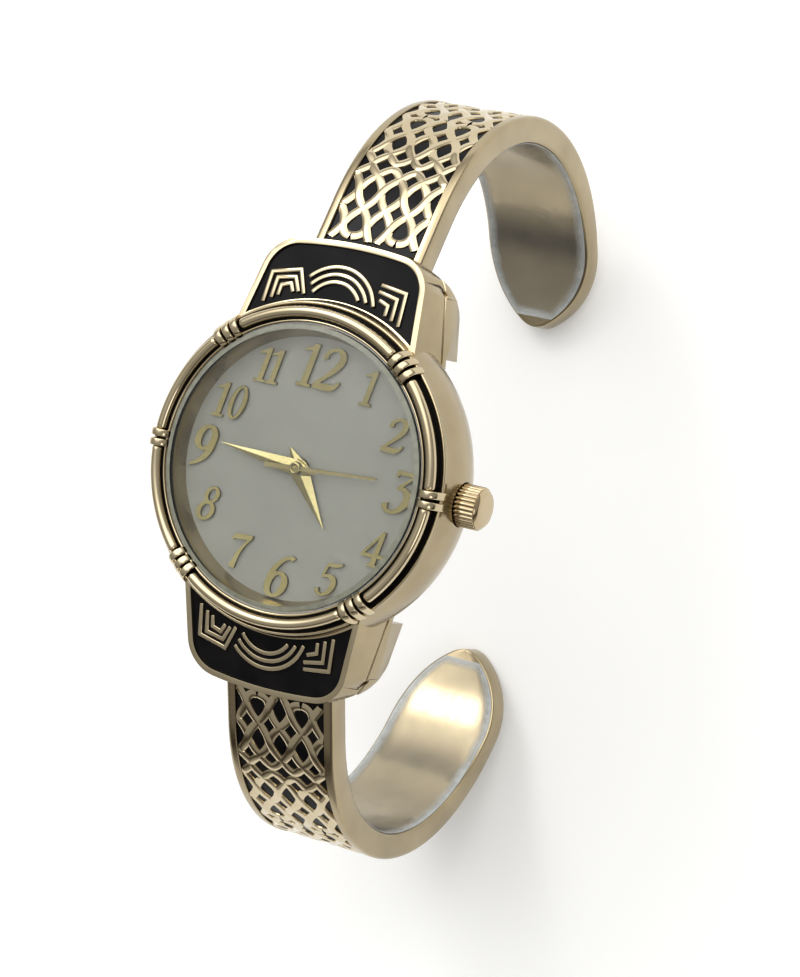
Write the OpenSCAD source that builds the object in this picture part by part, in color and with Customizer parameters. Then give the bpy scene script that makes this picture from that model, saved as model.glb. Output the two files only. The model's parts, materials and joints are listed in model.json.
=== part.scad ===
// Bangle watch: a round quartz case between two relief wings, on a pair of sprung cuff arms.
// Frame: +Z out of the dial, +Y to twelve o'clock, +X to three o'clock and the crown.
// The origin is the centre of the case back's flat outer face. All sizes are in millimetres.

/* [Case] */
// Centreline radius of the thick rounded bezel ring
bezel_r = 12.9; // [12.7:0.1:13.2]
// Height of the bezel above the case back
case_h = 9.2; // [9.0:0.1:9.8]
// Largest radius of the case wall
wall_r = 14.3; // [14.2:0.05:14.6]
// Barrel radius of the case wall, seen from the side
wall_curve = 7; // [6.8:0.1:9]

/* [Wings] */
// Half width of a wing where it leaves the bezel
wing_half_w = 8.45; // [8.2:0.05:9]
// How far a wing reaches from the centre
wing_reach = 19.15; // [18.9:0.05:19.8]
// Downward slope of a wing's top, in degrees
wing_slope = 12.3; // [10:0.1:14]
// Corner radius at a wing's end
wing_corner = 3.2; // [2:0.1:3.5]
// Width of the plain frame round a wing's relief
frame_w = 0.5; // [0.3:0.05:0.8]
// Width of the raised lines in the relief
line_w = 0.36; // [0.26:0.02:0.4]

/* [Cuff] */
// Width of an arm
arm_w = 10.6; // [10:0.1:10.6]
// Thickness of an arm
arm_t = 2.4; // [2:0.1:2.6]
// Half of the cuff's outside width
cuff_half_w = 33.87; // [32:0.1:36]
// Depth of the cuff's widest place below the case back
cuff_mid = 15.05; // [14:0.1:16]
// Outer radius of an arm above its widest place
upper_r = 18.14; // [17.5:0.1:19]
// Outer radius of an arm below its widest place
lower_r = 20.25; // [19.5:0.1:21.5]
// Angle below the widest place at which an arm ends, in degrees
tip_angle = 83.6; // [70:0.1:85]
// Width of the plain rail along each edge of an arm
rail_w = 0.9; // [0.6:0.1:1.2]
// Width of one strand of the knotwork
knot_w = 0.9; // [0.6:0.05:0.95]

/* [Hinges] */
// Distance of each hinge pin from the centre
hinge_y = 16.5; // [16.3:0.05:16.6]
// Height of each hinge pin above the case back
hinge_z = 3; // [2.9:0.05:3.1]
// Radius of a hinge pin
pin_r = 0.6; // [0.5:0.05:0.7]
// Radius of the rolled knuckles at an arm's end
knuckle_r = 1.5; // [1.3:0.05:1.55]

/* [Dial and hands] */
// Height of the numerals
numeral_h = 3.6; // [3:0.1:3.8]
// Stroke weight of the numerals
numeral_w = 0.42; // [0.38:0.01:0.46]
// Radius of the circle that the numerals stand on
numeral_r = 9.1; // [8.8:0.1:9.2]
// Length of the minute hand
minute_len = 7.4; // [6.5:0.1:8]
// Length of the hour hand
hour_len = 5.64; // [5:0.1:6.2]
// Length of the second hand
second_len = 7.6; // [6.5:0.1:8]
// Clockwise angle of the minute hand from twelve
minute_at = 275.4; // [0:0.1:360]
// Clockwise angle of the hour hand from twelve
hour_at = 143; // [0:0.1:360]
// Clockwise angle of the second hand from twelve
second_at = 85.5; // [0:0.1:360]

/* [Crown] */
// Radius of the crown
crown_r = 1.8; // [1.7:0.05:1.9]
// Length of the crown
crown_len = 2.1; // [2:0.05:2.5]
// Number of flutes round the crown
crown_flutes = 28; // [20:1:32]
// How far the crown pulls out to set the hands
crown_pull = 1; // [0.8:0.05:1]

/* [Movement] */
// Radius of the movement
plate_r = 9.6; // [9.5:0.05:9.7]
// Radius of the button cell
cell_r = 3.4; // [3.1:0.1:3.4]
// Thickness of the button cell
cell_h = 2.6; // [2.1:0.1:2.6]

/* [Clearances] */
// Radial clearance of a shaft that turns in its hole
run_gap = 0.03; // [0.02:0.01:0.04]
// Clearance round parts that are laid in loosely
lay_gap = 0.05; // [0.03:0.01:0.08]
// Clearance between pieces that pass one another
pass_gap = 0.1; // [0.08:0.01:0.12]

/* [Hidden] */
$fn = 96;
GOLD = [0.86, 0.74, 0.55];
STEEL = [0.72, 0.74, 0.76];
BRASS = [0.78, 0.66, 0.36];
BLACK = [0.07, 0.06, 0.06];

// Heights, from the bezel down
ring_z = case_h - 0.1;
glass_top = case_h + 0.15;
glass_t = 1.2;
glass_z = glass_top - glass_t;
groove_z = case_h - 0.5;
step_z = case_h - 1.1;
dial_top = case_h - 2.34;
dial_t = 0.4;
plate_top = dial_top - dial_t;
plate_t = 1.26;
plate_z = plate_top - plate_t;
stem_z = plate_z - 0.1;
case_z = 0.9;
wall_mid = 0.6 * case_h;

// Radii, from the bezel in
ring_tube = 0.42;
glass_r = bezel_r - 1;
glass_bevel = 0.45;
seat_r = glass_r + 0.15;
rehaut_r = glass_r - 0.25;
rehaut_lean = 0.75;
dial_r = rehaut_r - 0.1;
cavity_r = rehaut_r + 0.05;
back_r = cavity_r + 0.9;
back_flat_r = back_r - 1.6;
line_in = seat_r + 0.2;
groove_w = 0.25;
step_in = bezel_r + 0.4;
step_out = step_in + 0.27;

// Wings: the side lines taper, and the end is one wide arc
wing_from = 11.4;
wing_edge_z = 7.8 - 9.2 + case_h;
wing_taper = 0.16;
wing_end_r = 37.6;
wing_end_c = wing_reach - wing_end_r;
recess_depth = 0.5;
enamel_t = 0.25;
recess_in = step_out + 0.58;
side_len = sqrt(1 + wing_taper * wing_taper);
function wing_side(y) = wing_half_w - wing_taper * (y - wing_from);
function wing_top(y) = wing_edge_z - (y - wing_from) * tan(wing_slope);
function corner_x(y) = wing_side(y) - wing_corner * side_len;
function corner_fit(x) = wing_end_c + sqrt(pow(wing_end_r - wing_corner, 2) - x * x);
corner_cy = corner_fit(corner_x(corner_fit(corner_x(wing_reach - wing_corner))));
corner_cx = corner_x(corner_cy);

// Hinge pocket under each wing
pocket_half_w = arm_w / 2 + pass_gap;
pocket_in = hinge_y - knuckle_r - 0.25;
pocket_top = hinge_z + knuckle_r + 0.4;
lug_z = 2.8;
lug_out = 0.12;
lug_from = 11.2;
pin_half = wing_side(hinge_y) - 0.25;
pin_bore = pin_half + 0.02;
slot_w = 0.3;
spring_half = 1.8;
spring_r = 1.25;

// Arms: two tangent arcs and a straight root, as distances from the case centre
upper_c = cuff_half_w - upper_r;
lower_c = cuff_half_w - lower_r;
root_angle = 66;
root_start = [upper_c + upper_r * cos(root_angle), upper_r * sin(root_angle) - cuff_mid];
root_dir = [-sin(root_angle), cos(root_angle)];
root_normal = [cos(root_angle), sin(root_angle)];
root_reach = (root_start[0] - hinge_y - 1.1) / sin(root_angle);
upper_run = root_reach + upper_r * root_angle * PI / 180;
arm_run = upper_run + lower_r * tip_angle * PI / 180;
tip_y = lower_c + lower_r * cos(tip_angle);
tip_side_r = 9;
tip_round = 2.4;
tip_back = sqrt(pow(tip_side_r - tip_round, 2) - pow(tip_side_r - arm_w / 2, 2));
tip_from = tip_y + tip_back + tip_round;
tip_depth = cuff_mid + 5;
field_depth = 0.45;
field_enamel = 0.2;
film_t = 0.1;

// Train: two gear pairs above the plate, two below it, all from the centre
motion_at = 140;
motion_dist = 2.88;
cannon_teeth = 12;
minute_wheel_teeth = 36;
minute_pinion_teeth = 10;
hour_wheel_teeth = 40;
train_at = 42;
train_dist = 2.89;
centre_teeth = 64;
third_pinion_teeth = 8;
third_teeth = 60;
fourth_pinion_teeth = 8;
motion_low_mod = 2 * motion_dist / (cannon_teeth + minute_wheel_teeth);
motion_high_mod = 2 * motion_dist / (minute_pinion_teeth + hour_wheel_teeth);
train_high_mod = 2 * train_dist / (centre_teeth + third_pinion_teeth);
train_low_mod = 2 * train_dist / (third_teeth + fourth_pinion_teeth);
second_arbor_r = 0.12;
centre_tube_r = 0.24;
cannon_r = 0.42;
hour_pipe_r = 0.66;
motion_floor = plate_top - 0.71;

// Places on the movement
cell_at = [-4.9, -3.7];
coil_y = -7.1;
coil_end = 5.3;
rotor_at = [-0.6, -5.2];
board_y = 3.6;
screw_at = [[7.6, -3.4], [-7.2, 3.2], [5.6, 5.6]];
bridge_z = plate_z - 2.2;
bridge_t = 0.45;
foot_at = [75, 255];
foot_dist = 8.5;

// Turns a shape drawn as (distance along Y, height) into a solid across X
module across_x(width) {
    rotate([90, 0, 90]) linear_extrude(width, center = true) children();
}

// A round bar along X from one x to another
module bar_x(r, x0, x1, y = 0, z = 0) {
    translate([x0, y, z]) rotate([0, 90, 0]) cylinder(r = r, h = x1 - x0);
}

// A flat washer
module washer(r_out, r_in, z, h) {
    translate([0, 0, z]) difference() {
        cylinder(r = r_out, h = h);
        translate([0, 0, -1]) cylinder(r = r_in, h = h + 2);
    }
}

// A line of one width through the given points, with round joints
module path_2d(points, width) {
    for (i = [0 : len(points) - 2]) {
        step = points[i + 1] - points[i];
        translate(points[i]) rotate(atan2(step[1], step[0]))
            translate([0, -width / 2]) square([norm(step), width]);
    }
    for (p = points) translate(p) circle(d = width, $fn = 24);
}

// The wrist side of the lower six o'clock parts is the mirror image of the twelve o'clock ones
module at_six() { mirror([0, 1, 0]) children(); }

// Case

// Bars that seem to bind the bezel rings together: three at each corner, two at three and nine
bar_deg = 2.8;
bar_pitch = 3.7;
bar_angles = [
    for (c = [50, 130, 230, 310]) for (k = [-1, 0, 1]) c + k * bar_pitch,
    for (c = [0, 180]) for (k = [-0.5, 0.5]) c + k * bar_pitch
];
module bezel_bars() {
    for (a = bar_angles) rotate(a - bar_deg / 2) rotate_extrude(angle = bar_deg) {
        translate([bezel_r, ring_z]) circle(ring_tube + 0.08);
        polygon([
            [line_in - 0.15, groove_z - 0.1], [line_in - 0.15, ring_z + 0.02],
            [bezel_r - 0.3, ring_z + 0.4], [bezel_r + 0.3, ring_z + 0.4],
            [step_out + 0.3, step_z + 0.45], [step_out + 0.3, step_z - 0.1]
        ]);
    }
}

module round_case() {
    rotate_extrude() {
        intersection() {
            translate([seat_r - 1, case_z]) square([4, step_z - case_z]);
            translate([wall_r - wall_curve, wall_mid]) circle(wall_curve, $fn = 180);
        }
        translate([seat_r, glass_z]) square([step_in - seat_r, groove_z - glass_z]);
        translate([seat_r, glass_z]) square([line_in - seat_r, ring_z - 0.05 - glass_z]);
        translate([line_in + groove_w, glass_z])
            square([step_in - line_in - groove_w, ring_z - glass_z]);
        translate([bezel_r, ring_z]) circle(ring_tube);
        translate([(seat_r + line_in) / 2, ring_z - 0.05]) circle((line_in - seat_r) / 2);
        translate([step_out, glass_z - 0.6]) square([0.28, step_z + 0.2 - glass_z + 0.6]);
        translate([step_out + 0.14, step_z + 0.2]) circle(0.14);
    }
}

// Points along an arc
function arc(cx, cy, r, a0, a1, n) =
    [for (k = [0 : n]) let (a = a0 + (a1 - a0) * k / n) [cx + r * cos(a), cy + r * sin(a)]];

// Outline of a wing from above, drawn in by e: tapering sides, round corners and a wide end arc
module wing_plan(e = 0) {
    start = wing_from - 3;
    half = wing_side(start) - e * side_len;
    side_normal = atan(wing_taper);
    end_normal = atan2(corner_cy - wing_end_c, corner_cx);
    polygon(concat(
        [[-half, start], [half, start]],
        arc(corner_cx, corner_cy, wing_corner - e, side_normal, end_normal, 9),
        arc(0, wing_end_c, wing_end_r - e, end_normal + 2, 178 - end_normal, 6),
        arc(-corner_cx, corner_cy, wing_corner - e, 180 - end_normal, 180 - side_normal, 9)
    ));
}

// Everything between two depths under a wing's sloping top
module wing_slab(d0, d1) {
    across_x(30) polygon([
        [8, wing_top(8) - d0], [22, wing_top(22) - d0],
        [22, wing_top(22) - d1], [8, wing_top(8) - d1]
    ]);
}

// Raised lines of a wing's relief: nested steps, a nested arch and nested corners
module wing_relief_2d() {
    path_2d([[-6.65, 12.95], [-6.6, 15.6], [-4.0, 16.2], [-3.1, 14.2]], line_w);
    path_2d([[-6.0, 13.4], [-5.95, 15.2], [-4.3, 15.5], [-3.65, 14.3]], line_w);
    path_2d([[-5.45, 13.7], [-5.4, 14.65], [-4.55, 14.9], [-4.15, 14.2]], line_w);
    for (arch = [[3.88, 17, 138], [3.24, 24, 142], [2.6, 32, 148]])
        path_2d(arc(-0.2, 13.12, arch[0], arch[1], arch[2], 8), line_w);
    path_2d([[3.65, 16.2], [6.1, 15.85], [6.25, 13.05]], line_w);
    path_2d([[3.6, 15.62], [5.45, 15.25], [5.5, 13.4]], line_w);
    path_2d([[3.85, 14.95], [4.8, 14.6], [4.8, 13.7]], line_w);
}

// The sunk field inside a wing's frame, between two depths; anything passed in is left standing
module wing_recess(d0, d1) {
    intersection() {
        linear_extrude(20) difference() {
            wing_plan(frame_w);
            circle(recess_in);
            children();
        }
        wing_slab(d0, d1);
    }
}

module wing() {
    difference() {
        intersection() {
            union() {
                translate([0, 0, -1]) linear_extrude(20) wing_plan();
                translate([0, 0, -1]) linear_extrude(lug_z + 1) wing_plan(-lug_out);
            }
            across_x(30) polygon([
                [8, wing_top(8)], [22, wing_top(22)], [22, pocket_top + 0.4],
                [18.6, pocket_top + 0.1], [18.3, 4.4], [17.8, 3.1], [17.1, 1.8], [16.3, 0.8],
                [15.4, 0.15], [14.8, 0], [lug_from, 0], [lug_from, lug_z - 0.7], [8, lug_z - 0.7]
            ]);
        }
        translate([0, 0, -1]) cylinder(r = step_out + 0.03, h = 20);
        wing_recess(-1, recess_depth);
        translate([-pocket_half_w, pocket_in, -2])
            cube([2 * pocket_half_w, 10, pocket_top + 2]);
        bar_x(pin_r, -pin_bore, pin_bore, hinge_y, hinge_z);
        for (s = [-1, 1]) translate([s * (pin_bore + 1), hinge_y, hinge_z])
            across_x(2.01) path_2d([[-0.2, -0.5], [0.5, 0.75]], slot_w);
    }
    intersection() {
        linear_extrude(20) wing_relief_2d();
        wing_slab(0.02, recess_depth + 0.2);
    }
}

// Notch in the wall's lower edge, where a blade opens the back
notch_at = 37;
notch_w = 0.95;
module case() {
    color(GOLD) difference() {
        union() {
            difference() {
                round_case();
                wing_recess(-1, recess_depth);
                at_six() wing_recess(-1, recess_depth);
            }
            wing();
            at_six() wing();
            bezel_bars();
        }
        translate([0, 0, case_z - 1]) cylinder(r = cavity_r + 0.45, h = 1.4);
        translate([0, 0, case_z - 2]) cylinder(r = cavity_r, h = plate_top - case_z + 2);
        translate([0, 0, case_z]) cylinder(r = rehaut_r, h = case_h);
        translate([0, 0, glass_z]) cylinder(r = seat_r, h = 2);
        translate([0, 0, -2]) cylinder(r = back_r, h = 2 + case_z);
        rotate(notch_at) translate([back_r - 0.3, -notch_w / 2, case_z - 0.1]) cube([3, notch_w, 0.7]);
        bar_x(crown_r + 0.3, wall_r - 0.35, wall_r + 3, 0, stem_z);
        bar_x(crown_tube_r, 11, wall_r + 1, 0, stem_z);
    }
}

module bezel_enamel_inner() {
    color(BLACK) difference() {
        washer(line_in + groove_w, line_in, groove_z, 0.3);
        translate([0, 0, ring_z]) rotate_extrude() translate([bezel_r, 0]) circle(ring_tube);
        bezel_bars();
    }
}

module bezel_enamel_outer() {
    color(BLACK) difference() {
        washer(step_out, step_in, step_z, 0.25);
        bezel_bars();
    }
}

module wing_enamel() {
    color(BLACK) wing_recess(recess_depth - enamel_t, recess_depth) wing_relief_2d();
}
module upper_wing_enamel() { wing_enamel(); }
module lower_wing_enamel() { at_six() wing_enamel(); }

// Glass, dial and hands

module crystal() {
    color([0.85, 0.92, 0.95, 0.35]) rotate_extrude() polygon([
        [0, glass_z], [glass_r, glass_z], [glass_r, glass_top - glass_bevel],
        [glass_r - glass_bevel, glass_top], [0, glass_top]
    ]);
}

module crystal_gasket() {
    color([0.9, 0.9, 0.86]) washer(seat_r, glass_r, glass_z, glass_t - glass_bevel - 0.05);
}

module rehaut() {
    color(GOLD) rotate_extrude() polygon([
        [rehaut_r - rehaut_lean, dial_top], [rehaut_r - lay_gap, dial_top],
        [rehaut_r - lay_gap, glass_z - lay_gap], [rehaut_r - 0.15, glass_z - lay_gap]
    ]);
}

module dial() {
    color([0.9, 0.88, 0.84]) {
        washer(dial_r, hour_pipe_r + 0.2, plate_top, dial_t);
        for (a = foot_at) rotate(a) translate([foot_dist, 0, plate_top - 0.8])
            cylinder(r = 0.3, h = 1);
    }
}

// Numerals are drawn in a box one unit high: rings, and strokes through points (x, y, width)
module ring(cx, cy, rx, ry, hole_rx, hole_ry) {
    turn = [for (k = [0 : 23]) [cos(15 * k), sin(15 * k)]];
    difference() {
        polygon([for (p = turn) [cx + rx * p[0], cy + ry * p[1]]]);
        polygon([for (p = turn) [cx + hole_rx * p[0], cy + hole_ry * p[1]]]);
    }
}

// Cuts the corners of a run of points, so that it bends softly
function soften(p) = [
    p[0], for (i = [0 : len(p) - 2]) each [p[i] * 0.75 + p[i + 1] * 0.25, p[i] * 0.25 + p[i + 1] * 0.75],
    p[len(p) - 1]
];

// One pen stroke: out along one side and back along the other
module pen(stations) {
    p = len(stations) > 3 ? soften(stations) : stations;
    last = len(p) - 1;
    side = [for (i = [0 : last]) let (d = p[min(i + 1, last)] - p[max(i - 1, 0)])
        [-d[1], d[0]] / norm([d[0], d[1]]) * (p[i][2] + numeral_w - 0.42) / 2];
    polygon([
        for (i = [0 : last]) [p[i][0], p[i][1]] + side[i],
        for (i = [last : -1 : 0]) [p[i][0], p[i][1]] - side[i]
    ]);
}

module digit(d) {
    if (d == 0) ring(0, 0, 0.27, 0.5, 0.13, 0.43);
    if (d == 1) {
        pen([[0.03, 0.5, 0.13], [0.03, -0.47, 0.15]]);
        pen([[0.08, 0.48, 0.05], [-0.06, 0.38, 0.08], [-0.24, 0.33, 0.05]]);
        pen([[-0.16, -0.47, 0.06], [0.22, -0.47, 0.06]]);
    }
    if (d == 2) {
        pen([[-0.22, 0.2, 0.12], [-0.23, 0.31, 0.1], [-0.12, 0.43, 0.06], [0.04, 0.465, 0.07],
            [0.19, 0.37, 0.13], [0.22, 0.2, 0.16], [0.14, 0.02, 0.13], [-0.06, -0.2, 0.08],
            [-0.28, -0.43, 0.07]]);
        pen([[-0.3, -0.42, 0.11], [-0.08, -0.43, 0.13], [0.16, -0.44, 0.14], [0.32, -0.3, 0.05]]);
    }
    if (d == 3) {
        pen([[-0.2, 0.34, 0.03], [-0.19, 0.455, 0.07], [0.26, 0.455, 0.08]]);
        pen([[0.24, 0.44, 0.05], [-0.05, 0.12, 0.06]]);
        pen([[-0.1, 0.11, 0.05], [0.08, 0.11, 0.08], [0.23, -0.02, 0.15], [0.24, -0.2, 0.17],
            [0.12, -0.4, 0.11], [-0.06, -0.46, 0.06], [-0.22, -0.4, 0.08], [-0.25, -0.27, 0.13]]);
    }
    if (d == 4) {
        pen([[0.1, 0.5, 0.11], [0.1, -0.48, 0.14]]);
        pen([[0.1, 0.5, 0.05], [-0.31, -0.18, 0.06]]);
        pen([[-0.34, -0.2, 0.08], [0.32, -0.2, 0.08]]);
        pen([[-0.05, -0.475, 0.05], [0.25, -0.475, 0.05]]);
    }
    if (d == 5) {
        pen([[-0.17, 0.43, 0.1], [0.1, 0.43, 0.1], [0.28, 0.49, 0.05]]);
        pen([[-0.15, 0.45, 0.06], [-0.21, 0.06, 0.06]]);
        pen([[-0.22, 0.06, 0.05], [-0.04, 0.13, 0.08], [0.15, 0.06, 0.14], [0.21, -0.13, 0.17],
            [0.13, -0.36, 0.12], [-0.06, -0.465, 0.06], [-0.21, -0.4, 0.08], [-0.25, -0.28, 0.12]]);
    }
    if (d == 6) {
        ring(0.01, -0.2, 0.28, 0.3, 0.13, 0.235);
        pen([[-0.205, -0.16, 0.13], [-0.2, 0.04, 0.13], [-0.12, 0.26, 0.1], [0.02, 0.42, 0.07],
            [0.16, 0.475, 0.06], [0.24, 0.42, 0.09]]);
    }
    if (d == 7) {
        pen([[-0.29, 0.3, 0.03], [-0.26, 0.42, 0.13], [0.02, 0.43, 0.13], [0.3, 0.46, 0.1]]);
        pen([[0.27, 0.46, 0.06], [0.1, 0.18, 0.07], [0, -0.12, 0.12], [-0.03, -0.49, 0.18]]);
    }
    if (d == 8) {
        ring(0.02, 0.255, 0.225, 0.245, 0.12, 0.185);
        ring(-0.01, -0.22, 0.28, 0.28, 0.15, 0.205);
    }
    if (d == 9) {
        ring(-0.01, 0.2, 0.28, 0.3, 0.13, 0.235);
        pen([[0.205, 0.16, 0.13], [0.2, -0.04, 0.14], [0.12, -0.24, 0.12], [-0.02, -0.38, 0.09],
            [-0.2, -0.48, 0.03]]);
    }
}

// Twelve, three, six and nine are taller, and stand a little further in
numeral_small = 0.81;
numeral_lean = 0.2;
module dial_numerals() {
    color(GOLD) translate([0, 0, dial_top]) linear_extrude(0.15) for (n = [1 : 12]) {
        a = 90 - 30 * n;
        size = numeral_h * (n % 3 == 0 ? 1 : numeral_small);
        at = numeral_r - (n % 6 == 0 ? 0.35 : 0);
        translate([at * cos(a), at * sin(a)]) scale(size)
            multmatrix([[1, numeral_lean, 0, 0], [0, 1, 0, 0], [0, 0, 1, 0], [0, 0, 0, 1]]) {
            if (n < 10) digit(n);
            else {
                translate([n == 11 ? -0.21 : -0.31, 0]) digit(1);
                translate([n == 11 ? 0.18 : 0.25, 0]) digit(n - 10);
            }
        }
    }
}

// A ridged two-edged hand with a short pointed tail
module pointed_hand(length, tail, half_w, z, t, collet_r, bore_r) {
    difference() {
        union() {
            translate([0, 0, z]) linear_extrude(t)
                polygon([[0, length], [half_w, 0.25], [0.06, -tail], [-0.06, -tail], [-half_w, 0.25]]);
            translate([0, 0, z - 0.08]) cylinder(r = collet_r, h = t + 0.1);
        }
        translate([0, 0, z - 1]) cylinder(r = bore_r, h = 3);
    }
}

hour_z = dial_top + 0.29;
minute_z = dial_top + 0.59;
second_z = dial_top + 0.86;
hour_tail = 1.95;
minute_tail = 1.8;
second_tail = 2.9;
cap_r = 0.5;
module hour_hand() {
    color(GOLD) rotate(-hour_at) pointed_hand(hour_len, hour_tail, 0.86, hour_z, 0.12, 0.8, hour_pipe_r);
}
module minute_hand() {
    color(GOLD) rotate(-minute_at)
        pointed_hand(minute_len, minute_tail, 0.7, minute_z, 0.12, 0.62, cannon_r);
}
module second_hand() {
    color(GOLD) rotate(-second_at) difference() {
        union() {
            translate([0, 0, second_z]) linear_extrude(0.07) polygon([
                [-0.09, second_len], [0.09, second_len], [0.17, 0], [0.2, -second_tail],
                [-0.2, -second_tail], [-0.17, 0]
            ]);
            translate([0, 0, second_z - 0.05]) cylinder(r = cap_r, h = 0.27);
        }
        translate([0, 0, second_z - 1]) cylinder(r = second_arbor_r, h = 1.1);
    }
}

// Train

// Slim teeth with straight flanks: each pair is (part of a tooth's pitch, height in modules)
tooth = [[-0.27, -1.2], [-0.19, 0], [-0.08, 0.8], [0.08, 0.8], [0.19, 0], [0.27, -1.2]];
module gear(teeth, mod, phase, z, h) {
    translate([0, 0, z]) linear_extrude(h) polygon([
        for (i = [0 : teeth - 1]) for (t = tooth)
            let (a = phase + 360 * (i + t[0]) / teeth, r = mod * (teeth / 2 + t[1]))
                [r * cos(a), r * sin(a)]
    ]);
}

cannon_z = motion_floor + 0.08;
minute_pinion_z = cannon_z + 0.22;
module cannon_pinion() {
    color(BRASS) difference() {
        union() {
            gear(cannon_teeth, motion_low_mod, motion_at, cannon_z, 0.18);
            translate([0, 0, motion_floor + lay_gap])
                cylinder(r = cannon_r, h = minute_z + 0.14 - motion_floor - lay_gap);
        }
        translate([0, 0, 0]) cylinder(r = centre_tube_r, h = 20);
    }
}
module centre_wheel() {
    color(BRASS) difference() {
        union() {
            gear(centre_teeth, train_high_mod, train_at, plate_z - 0.3, 0.13);
            translate([0, 0, plate_z - 0.4]) cylinder(r = 0.5, h = 0.33);
            translate([0, 0, plate_z - 0.4])
                cylinder(r = centre_tube_r, h = minute_z + 0.14 - plate_z + 0.4);
        }
        cylinder(r = second_arbor_r + run_gap, h = 20);
    }
}
module hour_wheel() {
    color(BRASS) difference() {
        union() {
            gear(hour_wheel_teeth, motion_high_mod, motion_at + 180 / hour_wheel_teeth,
                minute_pinion_z + 0.08, 0.14);
            translate([0, 0, minute_pinion_z + 0.08])
                cylinder(r = hour_pipe_r, h = hour_z + 0.14 - minute_pinion_z - 0.08);
        }
        cylinder(r = cannon_r + run_gap, h = 20);
    }
}
module minute_wheel() {
    color(BRASS) translate(motion_dist * [cos(motion_at), sin(motion_at)]) difference() {
        union() {
            gear(minute_wheel_teeth, motion_low_mod,
                motion_at + 180 + 180 / minute_wheel_teeth, cannon_z + 0.02, 0.14);
            gear(minute_pinion_teeth, motion_high_mod, motion_at + 180, cannon_z + 0.1, 0.38);
        }
        cylinder(r = 0.2 + run_gap, h = 20);
    }
}
third_z = plate_z - 0.85;
fourth_z = plate_z - 1.3;
module third_wheel() {
    color(BRASS) translate(train_dist * [cos(train_at), sin(train_at)]) {
        gear(third_pinion_teeth, train_high_mod, train_at + 180 + 180 / third_pinion_teeth,
            plate_z - 0.38, 0.28);
        gear(third_teeth, train_low_mod, train_at + 180, third_z, 0.13);
        translate([0, 0, bridge_z]) cylinder(r = 0.12, h = plate_z + 0.3 - bridge_z);
    }
}
module fourth_wheel() {
    color(BRASS) {
        gear(fourth_pinion_teeth, train_low_mod, train_at + 180 / fourth_pinion_teeth,
            third_z - 0.07, 0.27);
        gear(60, 0.08, 0, fourth_z, 0.13);
        translate([0, 0, bridge_z]) cylinder(r = second_arbor_r, h = second_z + 0.05 - bridge_z);
    }
}

// Movement

module main_plate() {
    third = train_dist * [cos(train_at), sin(train_at)];
    post = motion_dist * [cos(motion_at), sin(motion_at)];
    color(BRASS) {
        difference() {
            union() {
                translate([0, 0, plate_z]) cylinder(r = plate_r, h = plate_t);
                for (s = screw_at) translate([s[0], s[1], bridge_z + bridge_t])
                    cylinder(r = 0.9, h = plate_z - bridge_z - bridge_t + 0.1);
            }
            translate([0, 0, motion_floor]) cylinder(r = 2.75, h = 2);
            translate([post[0], post[1], motion_floor]) cylinder(r = 2.55, h = 2);
            cylinder(r = centre_tube_r + run_gap, h = 20);
            translate([third[0], third[1], plate_z - 1]) cylinder(r = 0.12 + run_gap, h = 1.4);
            translate([rotor_at[0], rotor_at[1], plate_z - 1]) cylinder(r = 0.1 + run_gap, h = 1.4);
            translate([4.6, -1, plate_z - 1]) cube([6, 2, 1.75]);
            translate([6.7, -1.8, plate_z - 1]) cube([2.4, 3.6, 1.75]);
            for (a = foot_at) rotate(a) translate([foot_dist, 0, plate_top - 0.9])
                cylinder(r = 0.3, h = 2);
            for (s = screw_at) translate([s[0], s[1], 0]) cylinder(r = 0.3, h = plate_z);
        }
        translate([post[0], post[1], motion_floor - 0.1]) cylinder(r = 0.2, h = 0.7);
    }
}

module train_bridge() {
    color(STEEL) difference() {
        translate([0, 0, bridge_z]) linear_extrude(bridge_t) difference() {
            polygon([
                [8.7, -2.5], [8.2, -4.5], [6.2, -4.3], [3.2, -2.6], [1.2, -6.3], [-1.5, -6.5],
                [-1.5, -1.8], [-1.1, 1.1], [1.0, 3.1], [4.6, 6.7], [6.6, 6.5], [6.7, 4.5],
                [4.7, 2.0], [5.0, -1.0]
            ]);
            translate(cell_at) circle(cell_r + pass_gap);
            circle(second_arbor_r + run_gap);
            translate(train_dist * [cos(train_at), sin(train_at)]) circle(0.12 + run_gap);
            translate(rotor_at) circle(0.1 + run_gap);
            for (s = screw_at) translate(s) circle(0.3);
        }
    }
}

module movement_screws() {
    color(STEEL) for (i = [0, 1, 2]) {
        head_z = i == 1 ? plate_z - cell_h - 0.3 : bridge_z;
        translate([screw_at[i][0], screw_at[i][1], 0]) difference() {
            union() {
                translate([0, 0, head_z - 0.35]) cylinder(r = 0.6, h = 0.35);
                translate([0, 0, head_z]) cylinder(r = 0.3, h = plate_z - head_z);
            }
            translate([-1, -0.08, head_z - 0.5]) cube([2, 0.16, 0.3]);
        }
    }
}

rotor_z = plate_z - 1.4;
module rotor() {
    color(STEEL) translate([rotor_at[0], rotor_at[1], 0]) {
        translate([0, 0, rotor_z]) cylinder(r = 0.6, h = 0.7);
        translate([0, 0, bridge_z]) cylinder(r = 0.1, h = plate_z + 0.3 - bridge_z);
        gear(8, 0.08, 0, rotor_z + 0.95, 0.3);
    }
}

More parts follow.
